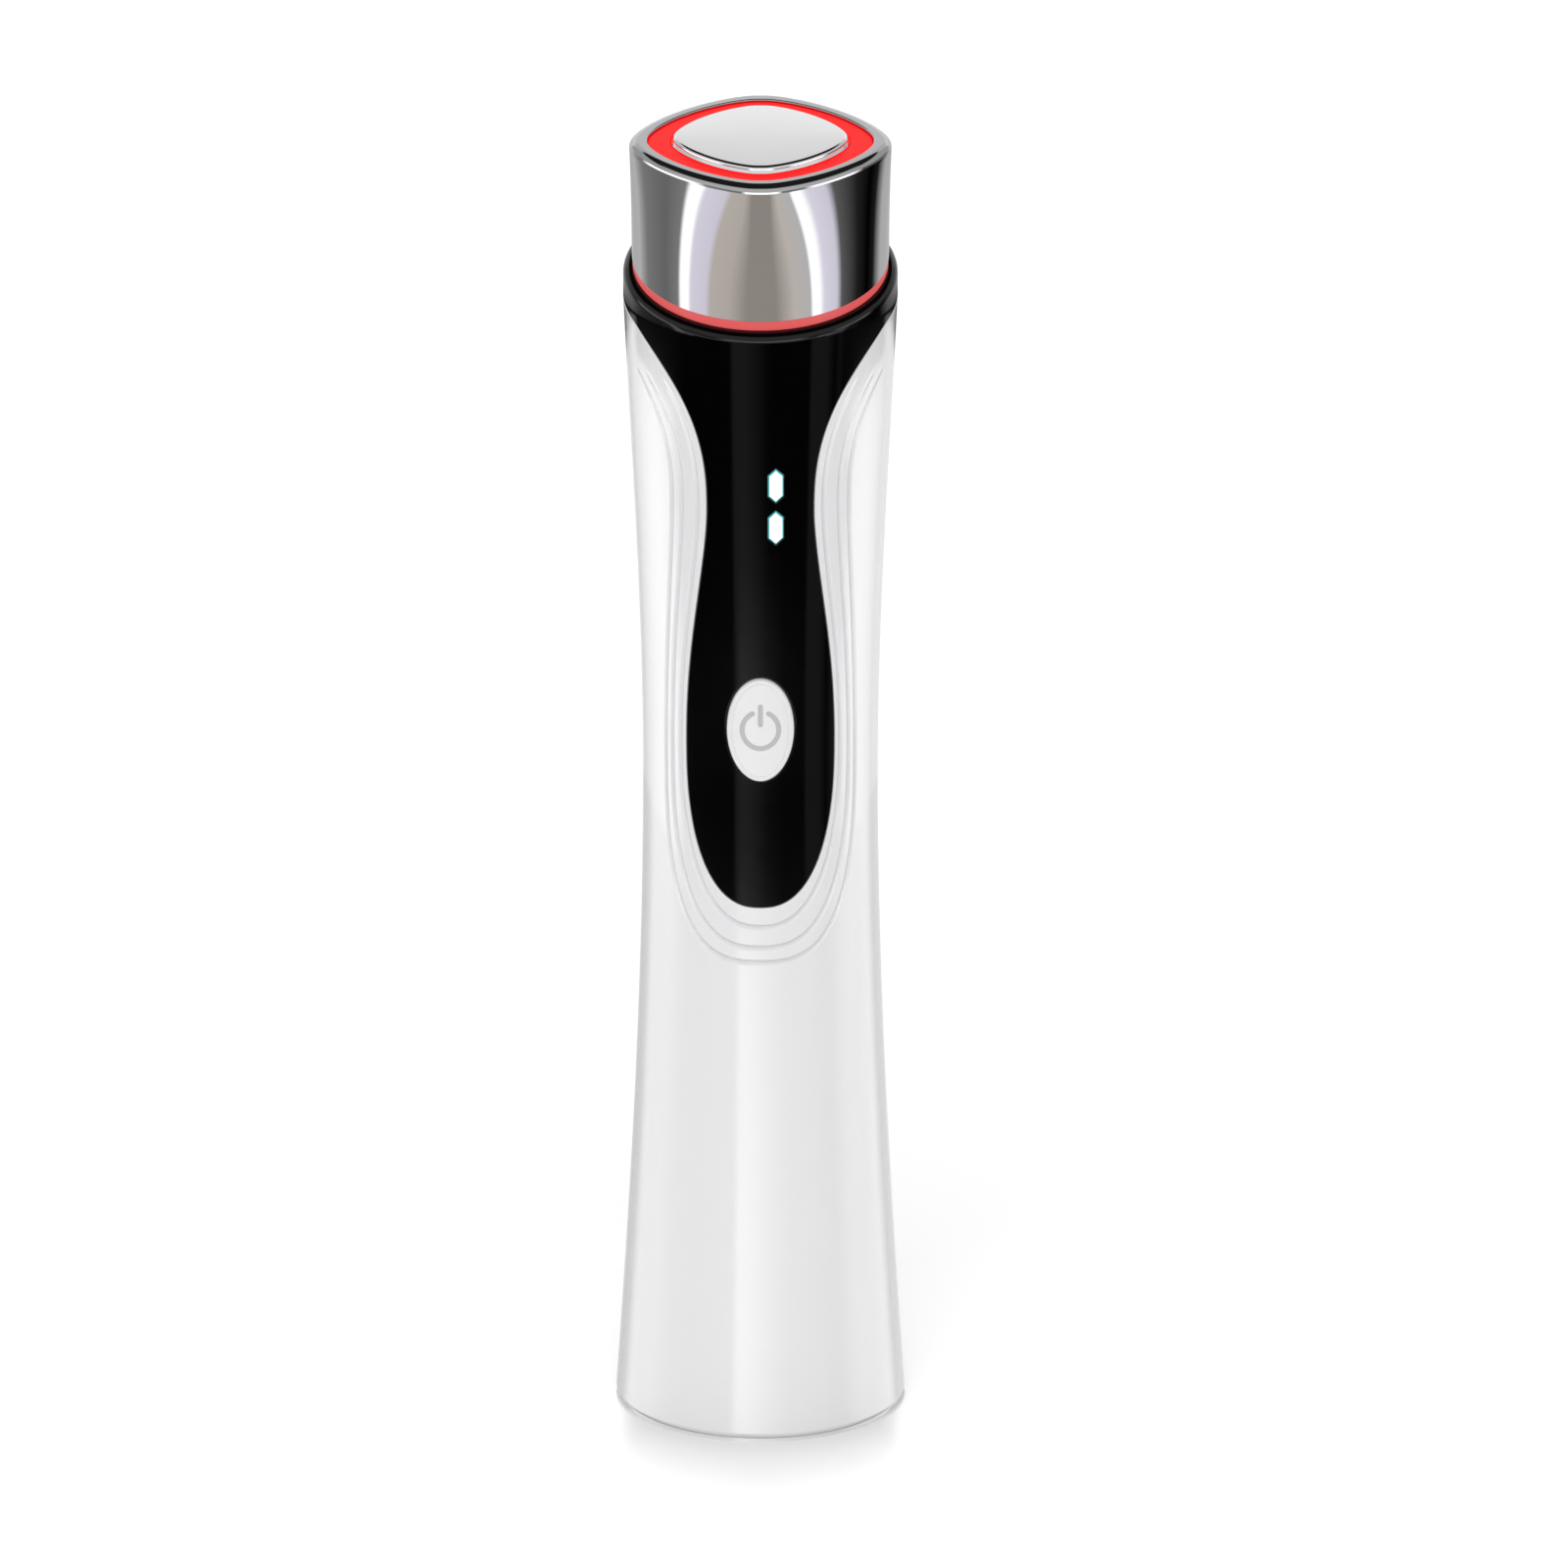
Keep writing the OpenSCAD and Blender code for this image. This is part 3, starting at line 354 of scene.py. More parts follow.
# Right half of a goblet line, from its lowest point to the seam
def goblet_line(low, wide, neck, full, under_collar=False):
    x, z = bowl_line(low, wide, full)
    bowl = respaced(np.arcsin(x / body_r(z)), z, BOWL_COLS)
    z = np.linspace(GOBLET_Z, NECK_Z, NECK_POINTS)
    t = ((NECK_Z - z) / (NECK_Z - GOBLET_Z)) ** NECK_SKEW
    x = neck + (wide - neck) * (1 - np.cos(math.pi * t)) / 2
    middle = respaced(np.arcsin(x / body_r(z)), z, NECK_COLS)
    s = np.linspace(0, 1, FLARE_POINTS)
    z = NECK_Z + (seam_height(neck) - NECK_Z) * (1 - (1 - s) ** 2)
    phi = np.arcsin(np.clip(flare_half(z, neck) / body_r(z), 0, math.sin(SEAM)))
    phi[-1] = SEAM
    if under_collar:
        z = np.minimum(z, lean_z(CROWN_Z, phi, body_r(z)))
    end = respaced(phi, z, FLARE_COLS)
    return tuple(np.concatenate([bowl[k], middle[k][1:], end[k][1:]]) for k in (0, 1))


# Both halves of a line that starts in the middle, from its left end to its right end
def both_sides(phi, z):
    return np.concatenate([-phi[:0:-1], phi]), np.concatenate([z[:0:-1], z])


# Outward direction along an open line, round and up the unrolled surface
def outward(phi, z):
    du = np.gradient(body_r(z) * phi)
    dz = np.gradient(z)
    size = np.hypot(du, dz)
    return dz / size, -du / size


# Inward direction along a closed line
def closed_way(phi, z):
    u = body_r(z) * phi
    du = np.roll(u, -1) - np.roll(u, 1)
    dz = np.roll(z, -1) - np.roll(z, 1)
    size = np.hypot(du, dz)
    return -dz / size, du / size


# A line moved sideways on the surface
def moved(line, way, d):
    phi, z = line
    return phi + d * way[0] / body_r(z), z + d * way[1]


def between(a, b, t):
    return a[0] + (b[0] - a[0]) * t, a[1] + (b[1] - a[1]) * t


# A closed line and its directions, with the first point once more at the end
def looped(line, way):
    return tuple(tuple(np.append(v, v[0]) for v in pair) for pair in (line, way))


# A rounded edge along a line on the handle, then a wall down to a depth
def edge(skin, line, way, radius, deep, steps=4, surface=0.0):
    points = []
    normals = []
    out, side, rise = body_frame(*line)
    toward = way[0][:, None] * side + way[1][:, None] * rise
    for a in np.linspace(0, math.pi / 2, steps + 1):
        phi, z = moved(line, way, radius * (math.sin(a) - 1))
        points.append(on_body(phi, z, surface + radius * (1 - math.cos(a))))
        normals.append(unit(math.cos(a) * out + math.sin(a) * toward))
    skin.grid(points, normals)
    skin.grid([points[-1], on_body(line[0], line[1], deep)], [toward, toward])


# Which points lie inside the loops, by counting how often a line from each crosses them
def inside(p, loops):
    odd = np.zeros(len(p), bool)
    for phi, z in loops:
        u = UNROLL * phi
        for a, b, c, d in zip(u, z, np.roll(u, -1), np.roll(z, -1)):
            if b != d:
                cross = (b > p[:, 1]) != (d > p[:, 1])
                odd ^= cross & (p[:, 0] < (c - a) * (p[:, 1] - b) / (d - b) + a)
    return odd


# Triangles of about one size over a region of the unrolled surface, with holes
def filled(boundary, holes, step):
    loops = [boundary] + holes
    points = np.concatenate([np.stack([UNROLL * phi, z], -1) for phi, z in loops])
    edges = []
    start = 0
    for phi, _ in loops:
        n = len(phi)
        edges += [(start + i, start + (i + 1) % n) for i in range(n)]
        start += n
    low, high = points.min(0), points.max(0)
    inner = []
    for i, z in enumerate(np.arange(low[1] + step / 2, high[1], step * ROW_RATIO)):
        u = np.arange(low[0] + step * (0.5 if i % 2 else 0.0), high[0], step)
        inner.append(np.stack([u, np.full(len(u), z)], -1))
    inner = np.concatenate(inner)
    inner = inner[inside(inner, loops)]
    gap = np.min(np.hypot(*(inner[:, None] - points[None]).transpose(2, 0, 1)), axis=1)
    every = np.concatenate([points, inner[gap > step * NEAR_RATIO]])
    found = delaunay_2d_cdt([Vector(p) for p in every], edges, [], 0, 1e-6)
    flat = np.array([[v.x, v.y] for v in found[0]])
    faces = np.array([f for f in found[2] if len(f) == 3])
    return flat, faces[inside(flat[faces].mean(1), loops)]


def add_filled(skin, flat, faces, depth, inward=False):
    phi, z = flat[:, 0] / UNROLL, flat[:, 1]
    out = body_frame(phi, z)[0]
    skin.add(on_body(phi, z, depth), -out if inward else out, faces)


# Outlines seen from the front, laid on the surface or on a face that stands proud of it
def facing(x, z, rise=0.0):
    return np.arcsin(x / (body_r(z) + rise)), z


def oval(w, h):
    a = np.linspace(0, 2 * math.pi, BUTTON_COLS, endpoint=False)
    return w / 2 * np.cos(a), BUTTON_Z + h / 2 * np.sin(a)


def hexagon(z, grow, per_side=6):
    w, h, tip = WINDOW_HALF[0] + grow, WINDOW_HALF[1] + grow, WINDOW_HALF[2]
    corners = [(0, -h), (w, tip - h), (w, h - tip), (0, h), (-w, h - tip), (-w, tip - h)]
    ways = zip(corners, corners[1:] + corners[:1])
    points = [between(a, b, t) for a, b in ways for t in np.arange(per_side) / per_side]
    x, up = np.array(points).T
    return WINDOW_X + x, z + up


# Materials: one short recipe each, all procedural
def material(name, colour, rough, metal=0.0, coat=0.0, ior=1.5, grain=400.0, wear=0.04, bump=0.0):
    made = bpy.data.materials.new(name)
    made.use_nodes = True
    nodes = made.node_tree.nodes
    links = made.node_tree.links
    shader = nodes["Principled BSDF"]
    shader.inputs["Base Color"].default_value = (*colour, 1)
    shader.inputs["Metallic"].default_value = metal
    shader.inputs["IOR"].default_value = ior
    shader.inputs["Coat Weight"].default_value = coat
    shader.inputs["Coat Roughness"].default_value = 0.04
    place = nodes.new("ShaderNodeTexCoord")
    noise = nodes.new("ShaderNodeTexNoise")
    noise.inputs["Scale"].default_value = grain
    noise.inputs["Detail"].default_value = 3
    links.new(place.outputs["Object"], noise.inputs["Vector"])
    spread = nodes.new("ShaderNodeMapRange")
    spread.inputs["To Min"].default_value = max(0.0, rough - wear)
    spread.inputs["To Max"].default_value = rough + wear
    links.new(noise.outputs["Fac"], spread.inputs["Value"])
    links.new(spread.outputs["Result"], shader.inputs["Roughness"])
    if bump:
        relief = nodes.new("ShaderNodeBump")
        relief.inputs["Strength"].default_value = bump
        relief.inputs["Distance"].default_value = 0.00005
        links.new(noise.outputs["Fac"], relief.inputs["Height"])
        links.new(relief.outputs["Normal"], shader.inputs["Normal"])
    return made


def glowing(name, colour, glow, gloss=0.5):
    made = material(name, colour, 0.3, wear=0.02, ior=1.4)
    shader = made.node_tree.nodes["Principled BSDF"]
    shader.inputs["Emission Color"].default_value = (*glow, 1)
    shader.inputs["Emission Strength"].default_value = 1.0
    shader.inputs["Specular IOR Level"].default_value = gloss
    return made


LOOKS = {
    "shell_white": material("shell_white", (0.78, 0.78, 0.79), 0.16, coat=1.0, wear=0.02),
    "panel_black": material("panel_black", (0.0008, 0.0008, 0.001), 0.07, wear=0.01, ior=1.4),
    "button_white": material("button_white", (0.77, 0.77, 0.78), 0.22, wear=0.02),
    "head_chrome": material("head_chrome", (0.50, 0.50, 0.51), 0.05, metal=1.0, wear=0.01),
    "plate_steel": material("plate_steel", (0.88, 0.88, 0.89), 0.10, metal=1.0, wear=0.02, grain=900.0),
    "glow_red": glowing("glow_red", (0.25, 0.005, 0.005), (0.9, 0.010, 0.010), gloss=0.05),
    "glow_white": glowing("glow_white", (0.9, 0.95, 0.95), (0.9, 1.0, 1.0)),
    "inner_plastic": material("inner_plastic", (0.45, 0.45, 0.46), 0.5, bump=0.3),
    "dark_plastic": material("dark_plastic", (0.03, 0.03, 0.032), 0.45, bump=0.3),
    "circuit_board": material("circuit_board", (0.02, 0.16, 0.07), 0.4, bump=0.2),
    "lamp_white": material("lamp_white", (0.85, 0.84, 0.78), 0.35),
    "flex_film": material("flex_film", (0.55, 0.26, 0.05), 0.35),
    "plated_brass": material("plated_brass", (0.80, 0.60, 0.28), 0.25, metal=1.0),
    "bright_steel": material("bright_steel", (0.68, 0.68, 0.70), 0.22, metal=1.0),
    "dark_metal": material("dark_metal", (0.16, 0.16, 0.17), 0.4, metal=1.0),
    "copper_wire": material("copper_wire", (0.72, 0.32, 0.16), 0.3, metal=1.0),
    "soft_rubber": material("soft_rubber", (0.04, 0.04, 0.045), 0.75, bump=0.5),
    "cell_sleeve": material("cell_sleeve", (0.05, 0.16, 0.45), 0.35),
    "wire_cover": material("wire_cover", (0.45, 0.03, 0.03), 0.5),
}
COLLAR_RED = glowing("collar_red", (0.25, 0.03, 0.03), (0.50, 0.070, 0.072))
SIGN_GREY = material("sign_grey", (0.48, 0.48, 0.49), 0.4)
RIM_TEAL = glowing("window_rim", (0.02, 0.1, 0.1), (0.05, 0.30, 0.32))

HALF_OUTLINE = goblet_line(GOBLET_LOW, GOBLET_W, NECK_W, BOWL_FULL, under_collar=True)
OUTLINE = both_sides(*HALF_OUTLINE)
OUTLINE_WAY = outward(*OUTLINE)


# White handle, front half: a surface laid in lines round the goblet
def groove_strip(skin, line, way):
    half = RIPPLE_LOOK_W / 2
    fade = RIPPLE_LOOK_D * (1 - np.clip((line[1] - FADE_LOW) / (FADE_HIGH - FADE_LOW), 0, 1))
    out, side, rise = body_frame(*line)
    toward = way[0][:, None] * side + way[1][:, None] * rise
    points = []
    normals = []
    for t in np.linspace(-1, 1, GROOVE_ROWS):
        depth = fade * (1 + math.cos(math.pi * t)) / 2
        tilt = -fade * math.pi * math.sin(math.pi * t) / (2 * half)
        points.append(on_body(*moved(line, way, half * t), depth))
        normals.append(unit(out + tilt[:, None] * toward))
    skin.grid(points, normals)


# Plain surface between two lines
def smooth_rows(skin, a, b, count):
    lines = [between(a, b, t) for t in np.linspace(0, 1, count + 1)]
    skin.grid([on_body(*one) for one in lines], [body_frame(*one)[0] for one in lines])


# The front's outer line, across at GRID_LOW and up the seams, cut like a goblet line
def outer_line(top):
    step = np.arange(BOWL_COLS)
    corner = BOWL_COLS // 2
    low_phi = SEAM * np.minimum(1, step / corner)
    up = np.maximum(0, (step - corner) / (BOWL_COLS - 1 - corner))
    neck_z = np.linspace(GOBLET_Z, NECK_Z, NECK_COLS)[1:]
    top_z = np.linspace(NECK_Z, top, FLARE_COLS)[1:]
    phi = np.concatenate([low_phi, np.full(len(neck_z) + len(top_z), SEAM)])
    return both_sides(phi, np.concatenate([GRID_LOW + (GOBLET_Z - GRID_LOW) * up, neck_z, top_z]))


# The handle below GRID_LOW, its rounded lower edge and its underside
def foot_rows(skin, phi):
    z = np.linspace(GRID_LOW, FOOT_STEP + FOOT_EDGE, FOOT_ROWS)[:, None]
    skin.grid(on_body(phi, z), body_frame(phi, z)[0])
    turn = np.linspace(math.pi / 2, 0, EDGE_ROWS)[:, None]
    middle = body_r(FOOT_STEP + FOOT_EDGE) - FOOT_EDGE
    z = FOOT_STEP + FOOT_EDGE * (1 - np.cos(turn))
    skin.grid(polar(middle + FOOT_EDGE * np.sin(turn), phi, z), polar(np.sin(turn), phi, -np.cos(turn)))
    inner = body_r(FOOT_STEP) - WALL
    skin.grid([polar(r, phi, FOOT_STEP) for r in (middle, inner)], (0, 0, -1))


def inner_rows(skin, phi):
    z = FOOT_STEP + (CROWN_Z - FOOT_STEP) * np.linspace(0, 1, INNER_ROWS)[:, None]
    skin.grid(on_body(phi, z, WALL), -body_frame(phi, z)[0])


# Flat walls at both seams, which face back (1) or forward (-1)
def seam_walls(skin, way):
    z = np.linspace(FOOT_STEP + FOOT_EDGE, CROWN_Z, WALL_ROWS)
    for side in (-1, 1):
        phi = side * SEAM
        face = np.array([math.cos(phi), math.sin(phi), 0]) * side * way
        skin.grid([on_body(phi, z), on_body(phi, z, WALL)], face)


def front_shell():
    skin = Skin()
    edge(skin, moved(OUTLINE, OUTLINE_WAY, FIT), (-OUTLINE_WAY[0], -OUTLINE_WAY[1]), EDGE_R, RECESS)
    last = moved(OUTLINE, OUTLINE_WAY, FIT + EDGE_R)
    for i in range(3):
        line = both_sides(*goblet_line(GOBLET_LOW - RIPPLE_DROP[i], GOBLET_W + RIPPLE_WIDE[i],
                                       NECK_W + RIPPLE_NECK[i], BOWL_FULL + RIPPLE_FULL * i))
        way = outward(*line)
        smooth_rows(skin, last, moved(line, way, -RIPPLE_LOOK_W / 2), BETWEEN_ROWS)
        groove_strip(skin, line, way)
        last = moved(line, way, RIPPLE_LOOK_W / 2)
    smooth_rows(skin, last, outer_line(last[1][-1] - SEAM_MARGIN), OUTER_ROWS)
    foot_rows(skin, SEAM * np.linspace(-1, 1, FRONT_COLS))
    inner_rows(skin, SEAM * np.linspace(-1, 1, INNER_COLS))
    seam_walls(skin, 1)
    skin.build("handle_front", LOOKS["shell_white"], "handle", ["front_shell"])


def rear_shell():
    skin = Skin()
    phi = np.linspace(SEAM, 2 * math.pi - SEAM, REAR_COLS)
    top = lean_z(CROWN_Z - FIT, phi, body_r(CROWN_Z))
    edge(skin, (phi, top), (0 * phi, 1 + 0 * phi), EDGE_R, RECESS)
    high = top - EDGE_R
    z = high + (GRID_LOW - high) * np.linspace(0, 1, REAR_ROWS)[:, None]
    skin.grid(on_body(phi, z), body_frame(phi, z)[0])
    foot_rows(skin, phi)
    inner_rows(skin, phi)
    seam_walls(skin, -1)
    skin.build("handle_rear", LOOKS["shell_white"], "handle", ["rear_shell"])


# Slanted collar: its rounded edge, its flat top, its bore and its underside
def collar(skin, around):
    turn = np.linspace(0, math.pi / 2, COLLAR_ROWS)[:, None]
    r = COLLAR_R - COLLAR_EDGE * (1 - np.cos(turn))
    points = polar(r, around, lean_z(COLLAR_Z, around, r) - COLLAR_EDGE * (1 - np.sin(turn)))
    skin.grid(points, grid_normals(points))
    flat_r = np.array([COLLAR_R - COLLAR_EDGE, BORE_R + BORE_EDGE])[:, None]
    flat_way = (0, -math.sin(LEAN_ANGLE), math.cos(LEAN_ANGLE))
    skin.grid(polar(flat_r, around, lean_z(COLLAR_Z, around, flat_r)), flat_way)
    low = SHELL_TOP + FIT
    bore = ((BORE_R + BORE_EDGE, COLLAR_Z), (BORE_R, COLLAR_Z - BORE_EDGE), (BORE_R, low))
    rows = [polar(r, around, lean_z(z, around, r)) for r, z in bore]
    skin.grid(rows, -polar(1.0, around, 0.0))
    rows = [polar(r, around, lean_z(low, around, r)) for r in (BORE_R, COLLAR_R - PANEL_T)]
    skin.grid(rows, (0, 0, -1))


# Black panel and collar in one piece
def front_panel():
    skin = Skin()
    back = np.linspace(SEAM, math.pi, BACK_COLS)[1:]
    line = both_sides(np.concatenate([HALF_OUTLINE[0], back]),
                      np.concatenate([HALF_OUTLINE[1], lean_z(CROWN_Z, back, COLLAR_R)]))
    way = outward(*line)
    edge(skin, line, way, EDGE_R, PANEL_T)
    lower = moved(line, way, -EDGE_R)
    lower[0][0], lower[0][-1] = -math.pi, math.pi
    around = np.linspace(-math.pi, math.pi, RING_COLS)
    upper = (around[::-1], lean_z(COLLAR_Z - COLLAR_EDGE, around[::-1], COLLAR_R))
    boundary = tuple(np.concatenate([lower[k], upper[k]]) for k in (0, 1))
    shapes = [oval(BUTTON_W + 2 * BUTTON_FIT, BUTTON_H + 2 * BUTTON_FIT)]
    shapes += [hexagon(WINDOW_Z + k * WINDOW_STEP, WINDOW_FIT) for k in (0, 1)]
    holes = []
    for shape in shapes:
        hole = facing(*shape)
        way = closed_way(*hole)
        edge(skin, *looped(hole, way), HOLE_EDGE, PANEL_T)
        holes.append(moved(hole, way, -HOLE_EDGE))
    flat, faces = filled(boundary, holes, PANEL_STEP)
    add_filled(skin, flat, faces, 0.0)
    add_filled(skin, flat, faces, PANEL_T, inward=True)
    collar(skin, around)
    skin.build("panel_and_collar", LOOKS["panel_black"], "handle", ["front_panel"])


# Rings round the axis, each with a radius and a height that may be functions of the angle. A height
# that is a number leans with the head's top
def band(skin, rows):
    a = np.linspace(0, 2 * math.pi, RING_COLS)
    points = []
    for radius, height in rows:
        r = radius(a) if callable(radius) else radius + 0 * a
        z = height(a, r) if callable(height) else height + r * np.sin(a) * TOP_LEAN
        points.append(np.stack([r * np.cos(a), r * np.sin(a), z], -1))
    skin.grid(points, grid_normals(np.array(points)))


# A height that leans with the collar
def leaning(z):
    return lambda a, r: z + r * np.sin(a) * LEAN


def shrunk(corner, side, d):
    return lambda a: diamond(a, corner, side) - d


# The head's wall goes from a circle that leans by 11 degrees to a rounded diamond that leans by 1
def head_side(t, inset=0.0):
    low = HEAD_LOW_R - inset
    return lambda a: low + (diamond(a, *HEAD_SIZE) - inset - low) * t * t


def head_height(t):
    def height(a, r):
        foot = HEAD_Z + FIT / 2 + r * np.sin(a) * LEAN
        top = RIM_Z - HEAD_EDGE + r * np.sin(a) * TOP_LEAN
        return foot + (top - foot) * t
    return height


def head():
    skin = Skin()
    inner = (HALO_R + FIT, HALO_R * SIDE_RATIO + FIT)
    band(skin, [(head_side(t), head_height(t)) for t in np.linspace(0, 1, HEAD_ROWS)])
    band(skin, [(shrunk(*HEAD_SIZE, inset), RIM_Z - drop) for inset, drop in rounding(HEAD_EDGE, 8)])
    band(skin, [(shrunk(*HEAD_SIZE, HEAD_EDGE), RIM_Z), (shrunk(*inner, -EDGE_R), RIM_Z)])
    band(skin, [(shrunk(*inner, -drop), RIM_Z - inset) for inset, drop in rounding(EDGE_R, 3)])
    band(skin, [(shrunk(*inner, 0), RIM_Z - EDGE_R), (shrunk(*inner, 0), RIM_Z - HEAD_BORE)])
    band(skin, [(head_side(0, HEAD_WALL), head_height(0)), (head_side(0), head_height(0))])
    skin.build("head_shell", LOOKS["head_chrome"], "handle", ["head_barrel"])


def collar_ring():
    skin = Skin()
    low, high = COLLAR_Z + SEAT, COLLAR_Z + RING_H
    corner = rounding(RING_EDGE, 3)
    rows = [(RING_R - inset, leaning(low + drop)) for inset, drop in corner[::-1]]
    rows += [(RING_R, leaning(low + RING_EDGE + (high - low - 2 * RING_EDGE) * t)) for t in (0.33, 0.67, 1)]
    rows += [(RING_R - inset, leaning(high - drop)) for inset, drop in corner[1:]]
    band(skin, rows)
    band(skin, [(RING_R - RING_EDGE, leaning(high)), (BORE_R, leaning(high))])
    band(skin, [(BORE_R, leaning(high)), (BORE_R, leaning(low))])
    band(skin, [(BORE_R, leaning(low)), (RING_R - RING_EDGE, leaning(low))])
    skin.build("collar_glow", COLLAR_RED, "handle", ["collar_light_ring"])


def top_ring():
    skin = Skin()
    inner = (PLATE_R + FIT, PLATE_R * SIDE_RATIO + FIT)
    low = HALO_Z - HALO_T
    corner = rounding(HALO_EDGE, 4)
    rows = [(shrunk(*HALO_SIZE, 0), low)]
    rows += [(shrunk(*HALO_SIZE, inset), HALO_Z - drop) for inset, drop in corner]
    rows += [(shrunk(*inner, -inset), HALO_Z - drop) for inset, drop in corner[::-1]]
    rows += [(shrunk(*inner, 0), low), (shrunk(*HALO_SIZE, 0), low)]
    band(skin, rows)
    skin.build("top_glow", LOOKS["glow_red"], "handle", ["top_light_ring"])


# Plate with a sloped skirt, a soft edge and a slight crown
def plate():
    skin = Skin()
    top = HALO_Z + PLATE_RISE
    shoulder = top - PLATE_CROWN
    wall = shrunk(*PLATE_SIZE, 0)
    band(skin, [(0.0, PLATE_LOW), (wall, PLATE_LOW)])
    band(skin, [(wall, PLATE_LOW), (wall, HALO_Z)])
    band(skin, [(wall, HALO_Z), (shrunk(*PLATE_SIZE, PLATE_SKIRT), shoulder - PLATE_EDGE)])
    rows = [(shrunk(*PLATE_SIZE, PLATE_SKIRT + inset), shoulder - drop)
            for inset, drop in rounding(PLATE_EDGE, 6)]
    for s in np.linspace(1, 0, CROWN_ROWS)[1:]:
        rows.append((lambda a, s=s: (diamond(a, *PLATE_SIZE) - PLATE_SKIRT - PLATE_EDGE) * s,
                     top - PLATE_CROWN * s * s))
    band(skin, rows)
    skin.build("contact_face", LOOKS["plate_steel"], "handle", ["contact_plate"])


# Power sign: a broken ring with round ends, and a bar with round ends
def sign_shapes():
    ring = np.linspace(SIGN_GAP, 2 * math.pi - SIGN_GAP, SIGN_COLS)
    cap = np.linspace(0, math.pi, CAP_COLS)
    strokes = [((SIGN_R + SIGN_W) * np.sin(ring), (SIGN_R + SIGN_W) * np.cos(ring))]
    for end, turn in ((ring[-1], ring[-1] + cap[1:-1]), (ring[0], ring[0] + math.pi + cap[1:-1])):
        strokes.append((SIGN_R * math.sin(end) + SIGN_W * np.sin(turn),
                        SIGN_R * math.cos(end) + SIGN_W * np.cos(turn)))
    back = ring[::-1]
    strokes.insert(2, ((SIGN_R - SIGN_W) * np.sin(back), (SIGN_R - SIGN_W) * np.cos(back)))
    x, z = [np.concatenate([stroke[k] for stroke in strokes])[::-1] for k in (0, 1)]
    over, up = SIGN_W * np.cos(cap), SIGN_W * np.sin(cap)
    bar_x = np.concatenate([over, -over])
    bar_z = np.concatenate([BAR_HIGH - SIGN_W + up, BAR_LOW + SIGN_W - up])
    return [(x, SIGN_Z + SIGN_TALL * z), (bar_x, SIGN_Z + bar_z)]


# Power button with its sign sunk in the face and a fine line inside its rim
def button():
    skin = Skin()
    a = np.linspace(0, 2 * math.pi, BUTTON_COLS + 1)
    line = [(RIM_ROUND + RIM_LINE_W * t, RIM_LINE_D * (1 - math.cos(2 * math.pi * t)) / 2)
            for t in np.linspace(0, 1, LINE_ROWS)[1:]]
    rows = []
    for inset, drop in rounding(RIM_ROUND, 6) + line:
        x = (BUTTON_W / 2 - inset) * np.cos(a)
        z = BUTTON_Z + (BUTTON_H / 2 - inset) * np.sin(a)
        rows.append(on_body(*facing(x, z, BUTTON_RISE - drop), drop - BUTTON_RISE))
    x, z = BUTTON_W / 2 * np.cos(a), BUTTON_Z + BUTTON_H / 2 * np.sin(a)
    side = [on_body(*facing(x, z, -BUTTON_BACK), BUTTON_BACK), on_body(*facing(x, z)), rows[0]]
    skin.grid(side, np.stack([np.cos(a), 0 * a, np.sin(a)], -1))
    normals = grid_normals(np.array(rows))
    skin.grid(rows, normals * np.sign(-normals[-1, 0, 1]))
    inset = 2 * (RIM_ROUND + RIM_LINE_W)
    face = facing(*oval(BUTTON_W - inset, BUTTON_H - inset), BUTTON_RISE)
    signs = [facing(*shape, BUTTON_RISE) for shape in sign_shapes()]
    holes = [moved(sign, closed_way(*sign), -SIGN_EDGE) for sign in signs]
    flat, faces = filled(face, holes, FACE_STEP)
    add_filled(skin, flat, faces, -BUTTON_RISE)
    for sign in signs:
        ring, way = looped(sign, closed_way(*sign))
        edge(skin, ring, way, SIGN_EDGE, SIGN_DEEP - BUTTON_RISE, steps=3, surface=-BUTTON_RISE)
    flat, faces = filled(facing(*oval(BUTTON_W, BUTTON_H), -BUTTON_BACK), [], BACK_STEP)
    add_filled(skin, flat, faces, BUTTON_BACK, inward=True)
    skin.build("button_cap", LOOKS["button_white"], "button", ["power_button"])
    inlay = Skin()
    for sign in signs:
        flat, faces = filled(sign, [], SIGN_STEP)
        add_filled(inlay, flat, faces, SIGN_DEEP - BUTTON_RISE - SIGN_LIFT)
    inlay.build("power_sign", SIGN_GREY, "button", [])


# Two glowing windows, each in a thin teal rim
def windows():
    for k, level in enumerate(("low", "high")):
        pane = Skin()
        rim = Skin()
        outer = facing(*hexagon(WINDOW_Z + k * WINDOW_STEP, 0.0))
        way = closed_way(*outer)
        inner = moved(outer, way, WINDOW_RIM)
        ring, turned = looped(outer, way)
        edge(rim, ring, (-turned[0], -turned[1]), HOLE_EDGE, PANEL_T)
        flat, faces = filled(moved(outer, way, HOLE_EDGE), [inner], RIM_STEP)
        add_filled(rim, flat, faces, 0.0)
        flat, faces = filled(inner, [], PANE_STEP)
        add_filled(pane, flat, faces, 0.0)
        pane.build(f"window_{level}", LOOKS["glow_white"], "handle", ["indicator_light_guide"])
        rim.build(f"window_rim_{level}", RIM_TEAL, "handle", [])


front_shell()
rear_shell()
front_panel()
head()
collar_ring()
top_ring()
plate()
button()
windows()

# Finishes on the carried-over nodes, by the record's slots
for part in frame["record"]["subparts"]:
    node = frame["nodes"][part["node"]]
    node.data.materials.clear()
    node.data.materials.append(LOOKS[part["material_slot"]])

